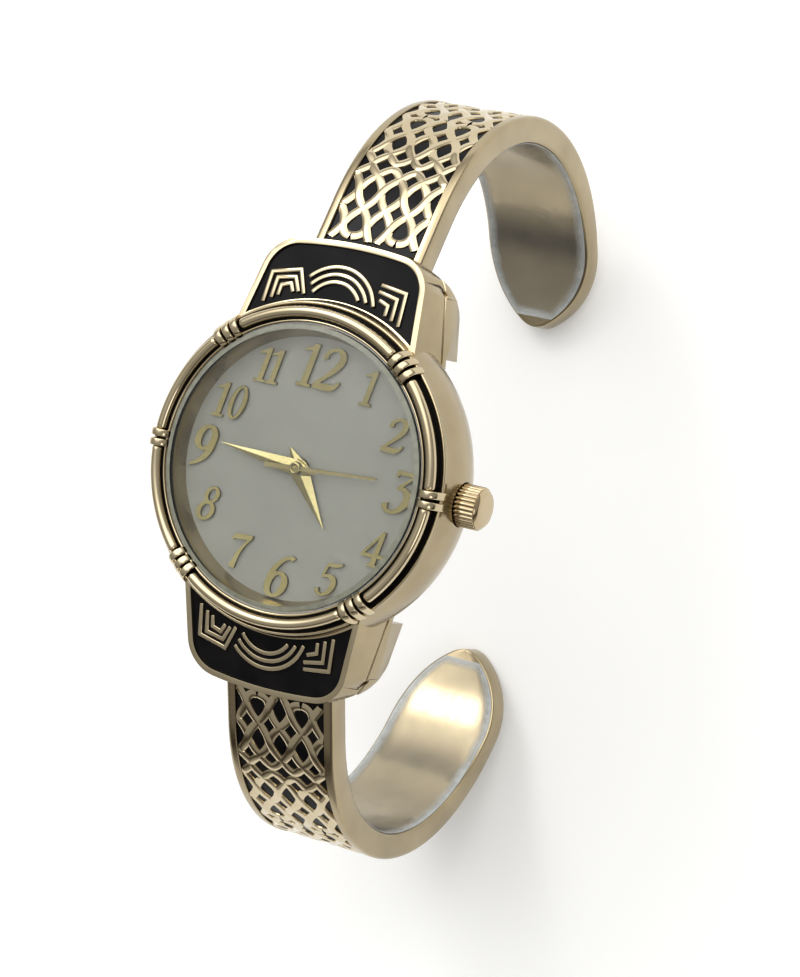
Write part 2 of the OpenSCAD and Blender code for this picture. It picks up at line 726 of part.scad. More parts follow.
stator_z = rotor_z + 0.1;
module stator() {
    color(STEEL) translate([0, 0, stator_z]) linear_extrude(0.5) difference() {
        path_2d([[-0.6, coil_y], rotor_at, [1.6, -5.2], [6.4, -5.9]], 1.9);
        translate(rotor_at) circle(0.75);
        translate([1.2, coil_y - 1.15]) square([4.9, 2.3]);
    }
}
module coil_core() {
    color(STEEL) {
        translate([-1.1, coil_y - 0.4, stator_z + 0.5]) cube([coil_end + 1.6, 0.8, 0.4]);
        translate([0.2, coil_y - 0.4, stator_z + 0.9]) cube([0.7, 0.8, plate_z - stator_z - 0.9]);
    }
}
module coil() {
    color([0.72, 0.4, 0.24]) difference() {
        bar_x(0.55, 1.4, coil_end, coil_y, stator_z + 0.7);
        translate([0, coil_y - 0.4, stator_z + 0.5]) cube([8, 0.8, 0.4]);
    }
}
module circuit_board() {
    color([0.16, 0.36, 0.22]) translate([0, 0, plate_z - 0.35]) linear_extrude(0.35) difference() {
        intersection() {
            circle(plate_r - 0.3);
            translate([-8, board_y]) square([12, 8]);
        }
        for (s = screw_at) translate(s) circle(1);
        translate(train_dist * [cos(train_at), sin(train_at)]) circle(1);
    }
}
module chip() {
    color(BLACK) translate([-4.2, board_y + 0.4, plate_z - 1.05]) cube([2, 2, 0.7]);
}
module quartz_can() {
    color(STEEL) bar_x(0.75, -5, 1, 7.2, plate_z - 1.1);
}
module battery() {
    color(STEEL) translate([cell_at[0], cell_at[1], plate_z - cell_h]) {
        cylinder(r = cell_r, h = cell_h - 0.5);
        cylinder(r = cell_r - 0.5, h = cell_h);
    }
}
module battery_clamp() {
    clamp_z = plate_z - cell_h - 0.3;
    color(STEEL) difference() {
        union() {
            translate([0, 0, clamp_z]) linear_extrude(0.3) path_2d([cell_at, screw_at[1]], 1.8);
            translate([screw_at[1][0], screw_at[1][1], clamp_z])
                cylinder(r = 0.85, h = bridge_z + bridge_t - clamp_z);
        }
        translate([screw_at[1][0], screw_at[1][1], 0]) cylinder(r = 0.3, h = 10);
    }
}
module movement_holder() {
    color([0.92, 0.92, 0.9]) difference() {
        washer(cavity_r - lay_gap, plate_r + lay_gap, 1.5, plate_top - 1.5);
        bar_x(0.8, 9, 13, 0, stem_z);
    }
}

// Stem and crown

crown_tube_r = 0.9;
stem_r = 0.45;
crown_x = wall_r - 0.1;
tube_end = crown_x + crown_pull + 0.2;
crown_bore_end = tube_end + 0.15;
yoke_x = 7.5;
groove_r = 0.28;
module stem() {
    color(STEEL) difference() {
        bar_x(stem_r, 4.7, crown_bore_end + 0.3, 0, stem_z);
        difference() {
            bar_x(1, yoke_x - 0.25, yoke_x + 0.25, 0, stem_z);
            bar_x(groove_r, yoke_x - 0.3, yoke_x + 0.3, 0, stem_z);
        }
    }
}
module clutch_wheel() {
    color(STEEL) translate([5.2, 0, stem_z]) rotate([0, 90, 0]) difference() {
        gear(14, 0.1, 0, 0, 1.2);
        translate([0, 0, -1]) cylinder(r = stem_r, h = 4);
    }
}
module stem_yoke() {
    slot = groove_r + run_gap;
    color(STEEL) translate([yoke_x - 0.15, 0, 0]) difference() {
        translate([0, -1.4, stem_z - 1.1]) cube([0.3, 2.8, 1.6]);
        bar_x(slot, -1, 1, 0, stem_z);
        translate([-1, -slot, stem_z]) cube([3, 2 * slot, 2]);
    }
}
module stem_tube() {
    color(STEEL) difference() {
        bar_x(crown_tube_r, cavity_r - 0.03, tube_end, 0, stem_z);
        bar_x(stem_r + run_gap, 0, 30, 0, stem_z);
    }
}
module crown() {
    body_end = crown_x + crown_len;
    flute_end = body_end - 0.6;
    color(GOLD) difference() {
        union() {
            bar_x(crown_r, crown_x, flute_end, 0, stem_z);
            translate([flute_end, 0, stem_z]) rotate([0, 90, 0])
                cylinder(r1 = crown_r - 0.05, r2 = crown_r - 0.3, h = 0.6);
        }
        for (k = [0 : crown_flutes - 1]) {
            a = 360 * k / crown_flutes;
            bar_x(0.1, crown_x - 1, flute_end, crown_r * cos(a), stem_z + crown_r * sin(a));
        }
        bar_x(crown_tube_r + lay_gap, crown_x - 1, crown_bore_end, 0, stem_z);
        bar_x(stem_r, crown_x, crown_bore_end + 0.3, 0, stem_z);
        bar_x(crown_tube_r + 0.35, crown_x + 0.25, crown_x + 0.65, 0, stem_z);
    }
}
module crown_gasket() {
    color(BLACK) difference() {
        bar_x(crown_tube_r + 0.35, crown_x + 0.25, crown_x + 0.65, 0, stem_z);
        bar_x(crown_tube_r + run_gap, crown_x, crown_x + 1, 0, stem_z);
    }
}

// Back

module case_back() {
    color(STEEL) {
        rotate_extrude() polygon([
            [0, 0], [back_flat_r, 0], [back_r, 0.6], [back_r, case_z], [0, case_z]
        ]);
        washer(cavity_r - lay_gap, cavity_r - 1.2, case_z - 0.1, 0.7);
    }
}
module back_gasket() {
    color(BLACK) washer(cavity_r + 0.43, cavity_r + 0.02, case_z, 0.38);
}

// Cuff arms

// Sector of a plane about a point, between two angles
function sector(cx, cy, a0, a1) = concat([[cx, cy]], arc(cx, cy, 70, a0, a1, 5));

module arc_band(c, r, d0, d1, a0, a1) {
    intersection() {
        translate([c, -cuff_mid]) difference() {
            circle(r - d0, $fn = 240);
            circle(r - d1, $fn = 240);
        }
        polygon(sector(c, -cuff_mid, a0, a1));
    }
}

// The part of an arm's side view between two depths from its outer face
module arm_band(d0, d1, a_up, a_down) {
    arc_band(upper_c, upper_r, d0, d1, 0, a_up);
    arc_band(lower_c, lower_r, d0, d1, -a_down, 0);
}
module root_band(d0, d1) {
    polygon([
        root_start - d0 * root_normal, root_start - d0 * root_normal + root_reach * root_dir,
        root_start - d1 * root_normal + root_reach * root_dir, root_start - d1 * root_normal
    ]);
}

// An arm's outline, drawn in by e: straight sides, then a rounded tip seen from above
module arm_plan(e) {
    half = arm_w / 2 - e;
    lean = (tip_side_r - e) / (tip_side_r - tip_round);
    translate([-half, tip_from]) square([2 * half, 60]);
    intersection() {
        translate([arm_w / 2 - tip_side_r, tip_from]) circle(tip_side_r - e);
        translate([tip_side_r - arm_w / 2, tip_from]) circle(tip_side_r - e);
        translate([-half, tip_from - tip_back * lean]) square([2 * half, tip_back * lean + 0.01]);
    }
    translate([0, tip_from - tip_back]) circle(tip_round - e);
}
module arm_shape(e) {
    intersection() {
        across_x(20) children();
        union() {
            translate([e - arm_w / 2, 0, -tip_depth]) cube([arm_w - 2 * e, 60, 60]);
            translate([0, 0, -60]) linear_extrude(60 - tip_depth + 0.01) arm_plan(e);
        }
    }
}

module arm() {
    color(GOLD) difference() {
        arm_shape(0) {
            arm_band(0, arm_t, root_angle, tip_angle);
            polygon([
                root_start, root_start + root_reach * root_dir, [hinge_y, hinge_z],
                root_start - arm_t * root_normal + (root_reach - 0.5) * root_dir,
                root_start - arm_t * root_normal,
                root_start - arm_t / 2 * root_normal - 0.5 * root_dir
            ]);
            translate([hinge_y, hinge_z]) circle(knuckle_r);
        }
        arm_shape(rail_w) {
            arm_band(-1, field_depth, root_angle, tip_angle);
            root_band(-1, field_depth);
        }
        bar_x(pin_r + run_gap, -10, 10, hinge_y, hinge_z);
        bar_x(knuckle_r + 0.25, -spring_half - pass_gap, spring_half + pass_gap, hinge_y, hinge_z);
    }
}
module arm_enamel() {
    color(BLACK) difference() {
        arm_shape(rail_w) {
            arm_band(field_depth - field_enamel, field_depth, root_angle, tip_angle);
            root_band(field_depth - field_enamel, field_depth);
        }
        bar_x(knuckle_r + 0.25, -10, 10, hinge_y, hinge_z);
        translate([-20, 0, -10]) cube([40, hinge_y, 40]);
    }
}

// Knotwork on the enamel: strands on a lattice, mirrored at every half repeat along the arm
knot_from = 2.2;
knot_halves = 7;
knot_step = (arm_run - knot_from) / knot_halves;
knot_row = (arm_w / 2 - rail_w - knot_w / 2 - 0.33) / 4;
knot_low = field_depth - field_enamel;
function run_angle(u) = u < root_reach ? root_angle
    : u < upper_run ? root_angle - (u - root_reach) / upper_r * 180 / PI
    : -(u - upper_run) / lower_r * 180 / PI;
function run_point(u) = u < root_reach ? root_start + (root_reach - u) * root_dir
    : let (a = run_angle(u), c = a > 0 ? upper_c : lower_c, r = a > 0 ? upper_r : lower_r)
        [c + r * cos(a), r * sin(a) - cuff_mid];
function plan_half(y) = arm_w / 2 - (y > tip_from ? 0
    : tip_side_r - sqrt(max(0, pow(tip_side_r, 2) - pow(tip_from - y, 2))));
function knot_share(u) = u < upper_run ? 1 : max(0.1,
    min(1, (plan_half(run_point(u)[0]) - rail_w - knot_w / 2 - pass_gap) / knot_row / 4));

// Lattice column k, as a distance from the start of a half repeat
function column(k) = knot_step * (0.18 + 0.219 * (k - 1));
turn = 0.45;
rising = [
    [0, 0.35], [column(1), 1], [column(2), 2], [column(3), 3], [column(4) - turn, 3.72],
    [column(4), 3.9], [column(4) + turn, 3.72], [knot_step, 3]
];
looped = [
    [0.35, 2], [0.6, 2.5], [column(1), 3], [column(2) - turn, 3.72], [column(2), 3.9],
    [column(2) + turn, 3.72], [column(3), 3], [column(4), 2], [column(4) + 0.65, 1.6],
    [knot_step - 0.35, 1], [column(4) + 0.65, 0.4], [column(4), 0], [column(3), -1],
    [column(2), -2], [column(1), -3], [0, -4]
];
falling = [
    [0.35, 2], [0.6, 1.5], [column(1), 1], [column(2), 0], [column(3), -1], [column(4), -2],
    [knot_step, -3]
];
// One strand: out along one side and back along the other
module strand_2d(points) {
    last = len(points) - 1;
    side = [for (i = [0 : last]) let (
        d = points[min(i + 1, last)] - points[max(i - 1, 0)]
    ) [-d[1], d[0]] / norm(d) * knot_w / 2];
    polygon([
        for (i = [0 : last]) points[i] + side[i],
        for (i = [last : -1 : 0]) points[i] - side[i]
    ]);
}
module knot_half_2d(i) {
    for (side = [-1, 1]) for (strand = [rising, looped, falling])
        strand_2d([for (p = strand) let (v = i % 2 == 0 ? p[0] : knot_step - p[0])
            [side * p[1] * knot_row * knot_share(knot_from + i * knot_step + v), v - knot_step / 2]]);
}
module arm_plait() {
    color(GOLD) intersection() {
        arm_shape(rail_w + pass_gap) {
            arm_band(0.05, knot_low, root_angle, tip_angle);
            root_band(0.05, knot_low);
        }
        for (i = [0 : knot_halves - 1]) {
            middle = knot_from + (i + 0.5) * knot_step;
            translate([0, run_point(middle)[0], run_point(middle)[1]])
                rotate([run_angle(middle) - 90, 0, 0])
                    translate([0, 0, -1.5]) linear_extrude(2) knot_half_2d(i);
        }
    }
}
module upper_arm_plait() { arm_plait(); }
module lower_arm_plait() { at_six() arm_plait(); }
module arm_film() {
    color([0.8, 0.88, 0.95, 0.5])
        arm_shape(0.3) arm_band(arm_t, arm_t + film_t, 25, tip_angle - 3);
}
module upper_arm() { arm(); }
module lower_arm() { at_six() arm(); }
module upper_arm_enamel() { arm_enamel(); }
module lower_arm_enamel() { at_six() arm_enamel(); }
module upper_film() { arm_film(); }
module lower_film() { at_six() arm_film(); }

module hinge_pin() { color(STEEL) bar_x(pin_r, -pin_half, pin_half, hinge_y, hinge_z); }
module hinge_spring() {
    color(STEEL) difference() {
        bar_x(spring_r, -spring_half, spring_half, hinge_y, hinge_z);
        bar_x(pin_r, -5, 5, hinge_y, hinge_z);
    }
}
module upper_hinge_pin() { hinge_pin(); }
module lower_hinge_pin() { at_six() hinge_pin(); }
module upper_hinge_spring() { hinge_spring(); }
module lower_hinge_spring() { at_six() hinge_spring(); }

case();
bezel_enamel_inner();
bezel_enamel_outer();
upper_wing_enamel();
lower_wing_enamel();
crystal();
crystal_gasket();
rehaut();
dial();
dial_numerals();
hour_hand();
minute_hand();
second_hand();
hour_wheel();
minute_wheel();
cannon_pinion();
centre_wheel();
third_wheel();
fourth_wheel();
main_plate();
train_bridge();
movement_screws();
rotor();
stator();
coil();
coil_core();
circuit_board();
chip();
quartz_can();
battery();
battery_clamp();
movement_holder();
stem();
clutch_wheel();
stem_yoke();
stem_tube();
crown();
crown_gasket();
case_back();
back_gasket();
upper_arm();
lower_arm();
upper_arm_enamel();
lower_arm_enamel();
upper_arm_plait();
lower_arm_plait();
upper_film();
lower_film();
upper_hinge_pin();
lower_hinge_pin();
upper_hinge_spring();
lower_hinge_spring();
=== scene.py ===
import json
import math
import bpy
import bmesh
from mathutils import Matrix, Vector


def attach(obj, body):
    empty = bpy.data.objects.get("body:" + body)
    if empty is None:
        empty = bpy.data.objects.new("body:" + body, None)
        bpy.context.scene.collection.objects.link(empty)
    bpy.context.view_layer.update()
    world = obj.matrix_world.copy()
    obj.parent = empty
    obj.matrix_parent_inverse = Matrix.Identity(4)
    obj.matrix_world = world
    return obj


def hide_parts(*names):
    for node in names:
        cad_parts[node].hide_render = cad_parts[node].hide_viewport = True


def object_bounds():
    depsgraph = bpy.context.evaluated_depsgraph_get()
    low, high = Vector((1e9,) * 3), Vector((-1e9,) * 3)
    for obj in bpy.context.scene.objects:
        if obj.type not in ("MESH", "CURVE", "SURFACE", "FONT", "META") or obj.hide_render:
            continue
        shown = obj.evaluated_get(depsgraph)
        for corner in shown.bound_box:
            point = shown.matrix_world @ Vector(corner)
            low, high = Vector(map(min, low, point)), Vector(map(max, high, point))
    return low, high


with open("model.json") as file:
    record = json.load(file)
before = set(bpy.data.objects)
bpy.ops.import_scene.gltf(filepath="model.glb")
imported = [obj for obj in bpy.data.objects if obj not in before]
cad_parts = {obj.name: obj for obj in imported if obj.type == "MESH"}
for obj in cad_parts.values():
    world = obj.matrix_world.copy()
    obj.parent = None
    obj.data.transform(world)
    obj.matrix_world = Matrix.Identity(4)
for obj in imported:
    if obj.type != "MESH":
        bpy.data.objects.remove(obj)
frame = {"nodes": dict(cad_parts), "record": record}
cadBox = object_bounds()
nodes = frame["nodes"]
mm = 0.001
print("frame loaded")


# Camera at the photograph's angle: right and look say how it is turned, shift is small
photoView = {
    "eye": (106.11, 12.15, 202.67),
    "look": (-0.44324, -0.06060, -0.89435),
    "right": (0.87222, 0.20103, -0.44589),
    "lens": 120.8,
    "shift": (0.0055, 0.0201),
}


def placeCamera(view):
    bpy.ops.object.select_all(action="DESELECT")
    bpy.ops.object.camera_add()
    camera = bpy.context.object
    camera.name = "photoCamera"
    look = Vector(view["look"]).normalized()
    right = Vector(view["right"])
    right = (right - look * right.dot(look)).normalized()
    turned = Matrix((right, right.cross(look), -look)).transposed().to_4x4()
    camera.matrix_world = Matrix.Translation(Vector(view["eye"]) * mm) @ turned
    camera.data.sensor_fit = "HORIZONTAL"
    camera.data.sensor_width = 36
    camera.data.lens = view["lens"]
    camera.data.shift_x, camera.data.shift_y = view["shift"]
    camera.data.clip_start = 0.005
    camera.data.clip_end = 20
    bpy.context.scene.camera = camera


# Pale floor, a soft studio sky and three soft lamps
studio = {
    "floorColour": (0.93, 0.93, 0.925), "floorRadius": 12, "floorDrop": 0.00002, "floorLift": 0.16,
    "skyTilt": (-0.15, 0.63, 0.76),
    # bright behind and above, a darker band of room low in front
    "sky": [
        (0.0, (0.7, 0.7, 0.7)), (0.29, (0.42, 0.41, 0.39)), (0.37, (0.07, 0.06, 0.05)),
        (0.42, (0.09, 0.08, 0.07)), (0.50, (0.38, 0.37, 0.35)), (0.70, (0.42, 0.42, 0.41)),
        (0.83, (0.50, 0.50, 0.49)), (0.89, (0.95, 0.95, 0.94)), (0.94, (2.4, 2.4, 2.37)),
        (1.0, (2.6, 2.6, 2.57)),
    ],
    # name, place, size and power
    "lamps": [
        ("keyLamp", (-0.36, 0.50, 0.52), 0.24, 0.7),
        ("fillLamp", (0.50, -0.20, 0.50), 0.30, 0.4),
        ("backLamp", (0.25, 0.62, 0.30), 0.40, 0.35),
    ],
}


def addNode(tree, kind, sockets=None, **settings):
    node = tree.nodes.new("ShaderNode" + kind)
    for key, value in settings.items():
        setattr(node, key, value)
    for socket, value in (sockets or {}).items():
        node.inputs[socket].default_value = value
    return node


def ramp(tree, stops):
    node = addNode(tree, "ValToRGB")
    while len(node.color_ramp.elements) < len(stops):
        node.color_ramp.elements.new(0.5)
    for element, (place, shade) in zip(node.color_ramp.elements, stops):
        element.position = place
        element.color = (*shade, 1)
    return node


def startFinish(name, sockets):
    material = bpy.data.materials.new(name)
    material.use_nodes = True
    shader = material.node_tree.nodes["Principled BSDF"]
    for socket, value in sockets.items():
        shader.inputs[socket].default_value = value
    return material, material.node_tree, shader


def floorFinish(values):
    # the picture, metal and glass see the floor a little nearer to white
    material, tree, shader = startFinish("paleFloor", {"Base Color": (*values["floorColour"], 1),
        "Roughness": 0.7, "Emission Color": (1, 1, 1, 1)})
    path = addNode(tree, "LightPath")
    seen = path.outputs["Is Camera Ray"]
    for output in ("Is Glossy Ray", "Is Transmission Ray"):
        either = addNode(tree, "Math", operation="MAXIMUM")
        tree.links.new(seen, either.inputs[0])
        tree.links.new(path.outputs[output], either.inputs[1])
        seen = either.outputs["Value"]
    lift = addNode(tree, "Math", {1: values["floorLift"]}, operation="MULTIPLY")
    tree.links.new(seen, lift.inputs[0])
    tree.links.new(lift.outputs["Value"], shader.inputs["Emission Strength"])
    return material


def buildSky(values):
    world = bpy.data.worlds.new("studioSky")
    bpy.context.scene.world = world
    world.use_nodes = True
    tree = world.node_tree
    coordinates = addNode(tree, "TexCoord")
    tilted = addNode(tree, "VectorMath", {1: values["skyTilt"]}, operation="DOT_PRODUCT")
    spread = addNode(tree, "MapRange", {"From Min": -1})
    level = ramp(tree, values["sky"])
    tree.links.new(coordinates.outputs["Generated"], tilted.inputs[0])
    tree.links.new(tilted.outputs["Value"], spread.inputs["Value"])
    tree.links.new(spread.outputs["Result"], level.inputs["Fac"])
    tree.links.new(level.outputs["Color"], tree.nodes["Background"].inputs["Color"])


def buildStudio(values):
    bpy.context.scene.view_settings.view_transform = "Standard"
    bpy.ops.object.select_all(action="DESELECT")
    bpy.ops.mesh.primitive_circle_add(vertices=96, radius=values["floorRadius"],
        fill_type="NGON", location=(0, 0, cadBox[0][2] - values["floorDrop"]))
    floor = bpy.context.object
    floor.name = "studioFloor"
    floor.data.materials.append(floorFinish(values))
    buildSky(values)
    for name, place, size, power in values["lamps"]:
        bpy.ops.object.select_all(action="DESELECT")
        bpy.ops.object.light_add(type="AREA", location=place)
        lamp = bpy.context.object
        lamp.name = name
        lamp.data.shape = "DISK"
        lamp.data.size = size
        lamp.data.energy = power
        lamp.rotation_euler = (-Vector(place)).to_track_quat("-Z", "Y").to_euler()


placeCamera(photoView)
buildStudio(studio)
print("camera and studio placed")


# Finishes. Colours run from low to high over a noise, roughness between the two ends of rough
def grainOn(tree, scale, stretch=(1, 1, 1), detail=3.0, roughness=0.5):
    coordinates = addNode(tree, "TexCoord")
    mapping = addNode(tree, "Mapping", {"Scale": stretch})
    noise = addNode(tree, "TexNoise", {"Scale": scale, "Detail": detail, "Roughness": roughness})
    tree.links.new(coordinates.outputs["Object"], mapping.inputs["Vector"])
    tree.links.new(mapping.outputs["Vector"], noise.inputs["Vector"])
    return noise.outputs["Fac"]


def wavesOn(tree, sockets, **settings):
    coordinates = addNode(tree, "TexCoord")
    waves = addNode(tree, "TexWave", sockets, **settings)
    tree.links.new(coordinates.outputs["Object"], waves.inputs["Vector"])
    return waves.outputs["Fac"]


def addBump(tree, shader, source, strength, distance=0.00002):
    bump = addNode(tree, "Bump", {"Strength": strength, "Distance": distance})
    tree.links.new(source, bump.inputs["Height"])
    tree.links.new(bump.outputs["Normal"], shader.inputs["Normal"])


def blendColours(tree, factor, low, high, shader, spread=(0.35, 0.65)):
    mix = ramp(tree, [(spread[0], low), (spread[1], high)])
    tree.links.new(factor, mix.inputs["Fac"])
    tree.links.new(mix.outputs["Color"], shader.inputs["Base Color"])
    return mix.outputs["Color"]


def blendRoughness(tree, factor, rough, shader):
    spread = addNode(tree, "MapRange",
        {"From Min": 0.3, "From Max": 0.7, "To Min": rough[0], "To Max": rough[1]})
    tree.links.new(factor, spread.inputs["Value"])
    tree.links.new(spread.outputs["Result"], shader.inputs["Roughness"])


def metalFinish(name, low, high, rough, scale, bump, stretch=(1, 1, 1)):
    material, tree, shader = startFinish(name, {"Metallic": 1.0})
    grain = grainOn(tree, scale, stretch)
    blendColours(tree, grainOn(tree, 180), low, high, shader)
    blendRoughness(tree, grain, rough, shader)
    addBump(tree, shader, grain, bump)
    return material


def plainFinish(name, low, high, rough, scale=600, bump=0.1, coat=0.0):
    material, tree, shader = startFinish(name, {"Coat Weight": coat})
    grain = grainOn(tree, scale)
    blendColours(tree, grain, low, high, shader)
    blendRoughness(tree, grain, rough, shader)
    addBump(tree, shader, grain, bump)
    return material


def enamelFinish(name):
    material, tree, shader = startFinish(name, {"Specular IOR Level": 0.07})
    ripple = grainOn(tree, 260, detail=2.0)
    blendColours(tree, ripple, (0.0035, 0.0035, 0.0045), (0.009, 0.008, 0.008), shader)
    blendRoughness(tree, ripple, (0.10, 0.22), shader)
    addBump(tree, shader, ripple, 0.35, 0.0001)
    return material


def shadedPearlFinish(name):
    material, tree, shader = startFinish(name, {"Sheen Weight": 0.15})
    cloud = grainOn(tree, 150, (1, 1.6, 1), detail=4.0, roughness=0.6)
    # the pearl is given a grey, darker than its own white: painted shade over the whole dial
    blendColours(tree, cloud, (0.43, 0.43, 0.38), (0.50, 0.50, 0.44), shader, (0.25, 0.75))
    blendRoughness(tree, cloud, (0.30, 0.42), shader)
    addBump(tree, shader, grainOn(tree, 2400), 0.03)
    return material


def glassFinish(name):
    material, tree, shader = startFinish(name,
        {"Base Color": (0.985, 0.99, 0.98, 1), "Transmission Weight": 1.0, "IOR": 1.5})
    blendRoughness(tree, grainOn(tree, 120), (0.0, 0.015), shader)
    return material


def groundFinish(name):
    # the ground edge of the glass, pale and a little green
    material, tree, shader = startFinish(name, {"Transmission Weight": 0.25, "IOR": 1.5})
    grain = grainOn(tree, 1500)
    blendColours(tree, grain, (0.24, 0.245, 0.19), (0.32, 0.325, 0.26), shader)
    blendRoughness(tree, grain, (0.35, 0.5), shader)
    return material


def shadedFigureFinish(name, low, high, shadedFlank):
    # raised figures: the flanks are darker than the flat tops, a painted shade set by how steep
    # each face is
    material, tree, shader = startFinish(name, {"Metallic": 1.0})
    cloud = grainOn(tree, 300)
    top = blendColours(tree, cloud, low, high, shader)
    coordinates = addNode(tree, "TexCoord")
    split = addNode(tree, "SeparateXYZ")
    steep = addNode(tree, "MapRange", {"From Min": 0.55, "From Max": 0.95})
    mixed = addNode(tree, "Mix", data_type="RGBA")
    mixed.inputs["A"].default_value = (*shadedFlank, 1)
    tree.links.new(coordinates.outputs["Normal"], split.inputs["Vector"])
    tree.links.new(split.outputs["Z"], steep.inputs["Value"])
    tree.links.new(steep.outputs["Result"], mixed.inputs["Factor"])
    tree.links.new(top, mixed.inputs["B"])
    tree.links.new(mixed.outputs["Result"], shader.inputs["Base Color"])
    blendRoughness(tree, cloud, (0.12, 0.22), shader)
    return material


def filmFinish(name):
    # clear where the rim attribute is 0, milky and streaked where it is 1
    material, tree, shader = startFinish(name, {"Roughness": 0.25})
    edge = addNode(tree, "Attribute", attribute_name="rim")
    streak = grainOn(tree, 500, (0.4, 1, 1), detail=5.0, roughness=0.7)
    joined = addNode(tree, "Math", {1: 0.6}, operation="MULTIPLY_ADD")
    milky = addNode(tree, "MapRange",
        {"From Min": 0.45, "From Max": 1.3, "To Min": 0.06, "To Max": 0.55})
    tree.links.new(streak, joined.inputs[0])
    tree.links.new(edge.outputs["Fac"], joined.inputs[2])
    tree.links.new(joined.outputs["Value"], milky.inputs["Value"])
    tree.links.new(milky.outputs["Result"], shader.inputs["Alpha"])
    blendColours(tree, streak, (0.60, 0.64, 0.65), (0.76, 0.79, 0.79), shader)
    addBump(tree, shader, streak, 0.2, 0.0001)
    return material


def brushedFinish(name, low, high, rough):
    # fine circular brushing round the dial axis
    material, tree, shader = startFinish(name, {"Metallic": 1.0})
    rings = wavesOn(tree, {"Scale": 1500, "Distortion": 1.5, "Detail": 3},
        wave_type="RINGS", rings_direction="Z")
    cloud = grainOn(tree, 200)
    blendColours(tree, cloud, low, high, shader)
    blendRoughness(tree, cloud, rough, shader)
    addBump(tree, shader, rings, 0.12)
    return material


def woundFinish(name):
    # turns of copper wire along the coil
    material, tree, shader = startFinish(name, {"Metallic": 1.0, "Roughness": 0.32})
    turns = wavesOn(tree, {"Scale": 3000}, bands_direction="X")
    blendColours(tree, turns, (0.30, 0.10, 0.04), (0.72, 0.32, 0.16), shader, (0.2, 0.8))
    addBump(tree, shader, turns, 0.6)
    return material


goldPolish = metalFinish("goldPolish", (0.53, 0.44, 0.285), (0.60, 0.505, 0.34), (0.06, 0.12),
    1400, 0.02)
# satin gold: brushed and rougher, and darker than the polished gold, the darker colour being
# painted shade for side walls and arms
satinGoldPaintedShade = metalFinish("satinGoldPaintedShade", (0.34, 0.275, 0.17), (0.41, 0.335, 0.21), (0.14, 0.24),
    1100, 0.05, (1, 0.2, 0.2))
goldLeaf = metalFinish("goldLeaf", (0.44, 0.38, 0.18), (0.55, 0.48, 0.25), (0.12, 0.22),
    1600, 0.04)
goldSoft = metalFinish("goldSoft", (0.42, 0.345, 0.20), (0.49, 0.405, 0.24), (0.27, 0.36),
    1200, 0.04)
# crown gold, rosier and darker than the polished: painted warm reflection and painted shade
goldPaintedWarmShade = metalFinish("goldPaintedWarmShade", (0.47, 0.37, 0.225), (0.54, 0.43, 0.275), (0.09, 0.16),
    1500, 0.03)
# gold of the raised figures, with a dark brown on their flanks as painted shade
goldFigurePaintedShade = shadedFigureFinish("goldFigurePaintedShade", (0.44, 0.37, 0.15), (0.54, 0.46, 0.21), (0.13, 0.10, 0.035))
finishes = {
    "gold_plate": goldPolish,
    "gold_hands": goldLeaf,
    "black_enamel": enamelFinish("blackEnamel"),
    "mineral_glass": glassFinish("mineralGlass"),
    "pearl_dial": shadedPearlFinish("pearlDialPaintedShade"),
    "nylon": plainFinish("naturalNylon", (0.62, 0.61, 0.56), (0.70, 0.69, 0.64), (0.42, 0.55)),
    "nitrile": plainFinish("nitrileRubber", (0.012, 0.012, 0.012), (0.03, 0.03, 0.03), (0.5, 0.7),
        bump=0.25),
    "steel": brushedFinish("brushedSteel", (0.46, 0.46, 0.46), (0.60, 0.60, 0.59), (0.22, 0.34)),
    "movement_brass": metalFinish("movementBrass", (0.60, 0.44, 0.16), (0.74, 0.57, 0.26),
        (0.20, 0.34), 1200, 0.15, (1, 8, 1)),
    "coil_wire": woundFinish("woundCopper"),
    "board": plainFinish("circuitBoard", (0.02, 0.10, 0.05), (0.04, 0.17, 0.09), (0.28, 0.42),
        900, 0.15, 0.4),
    "film": filmFinish("clearFilm"),
}
print("finishes ready:", len(finishes))


# Modelling helpers. Places and sizes go in as millimetres, and only weldGap is in metres
weldGap = 2e-7


def clearPick():
    if bpy.context.mode != "OBJECT":
        bpy.ops.object.mode_set(mode="OBJECT")
    bpy.ops.object.select_all(action="DESELECT")


def pick(piece):
    clearPick()
    piece.select_set(True)
    bpy.context.view_layer.objects.active = piece


def openEdit(piece, kind="VERT"):
    pick(piece)
    bpy.ops.object.mode_set(mode="EDIT")
    bpy.ops.mesh.select_mode(type=kind)
    bpy.ops.mesh.select_all(action="SELECT")


def closeEdit():
    bpy.ops.object.mode_set(mode="OBJECT")


def turnFacesOut():
    # the last step of an edit
    bpy.ops.mesh.select_all(action="SELECT")
    bpy.ops.mesh.normals_make_consistent(inside=False)
    closeEdit()


def squareUp(piece):
    openEdit(piece)
    bpy.ops.mesh.remove_doubles(threshold=weldGap)
    turnFacesOut()


def pickFaces(piece, wanted):
    # wanted takes a face's middle in millimetres and its normal
    shell = bmesh.from_edit_mesh(piece.data)
    bpy.ops.mesh.select_mode(type="FACE")
    for face in shell.faces:
        face.select_set(bool(wanted(face.calc_center_median() / mm, face.normal)))
    bmesh.update_edit_mesh(piece.data)


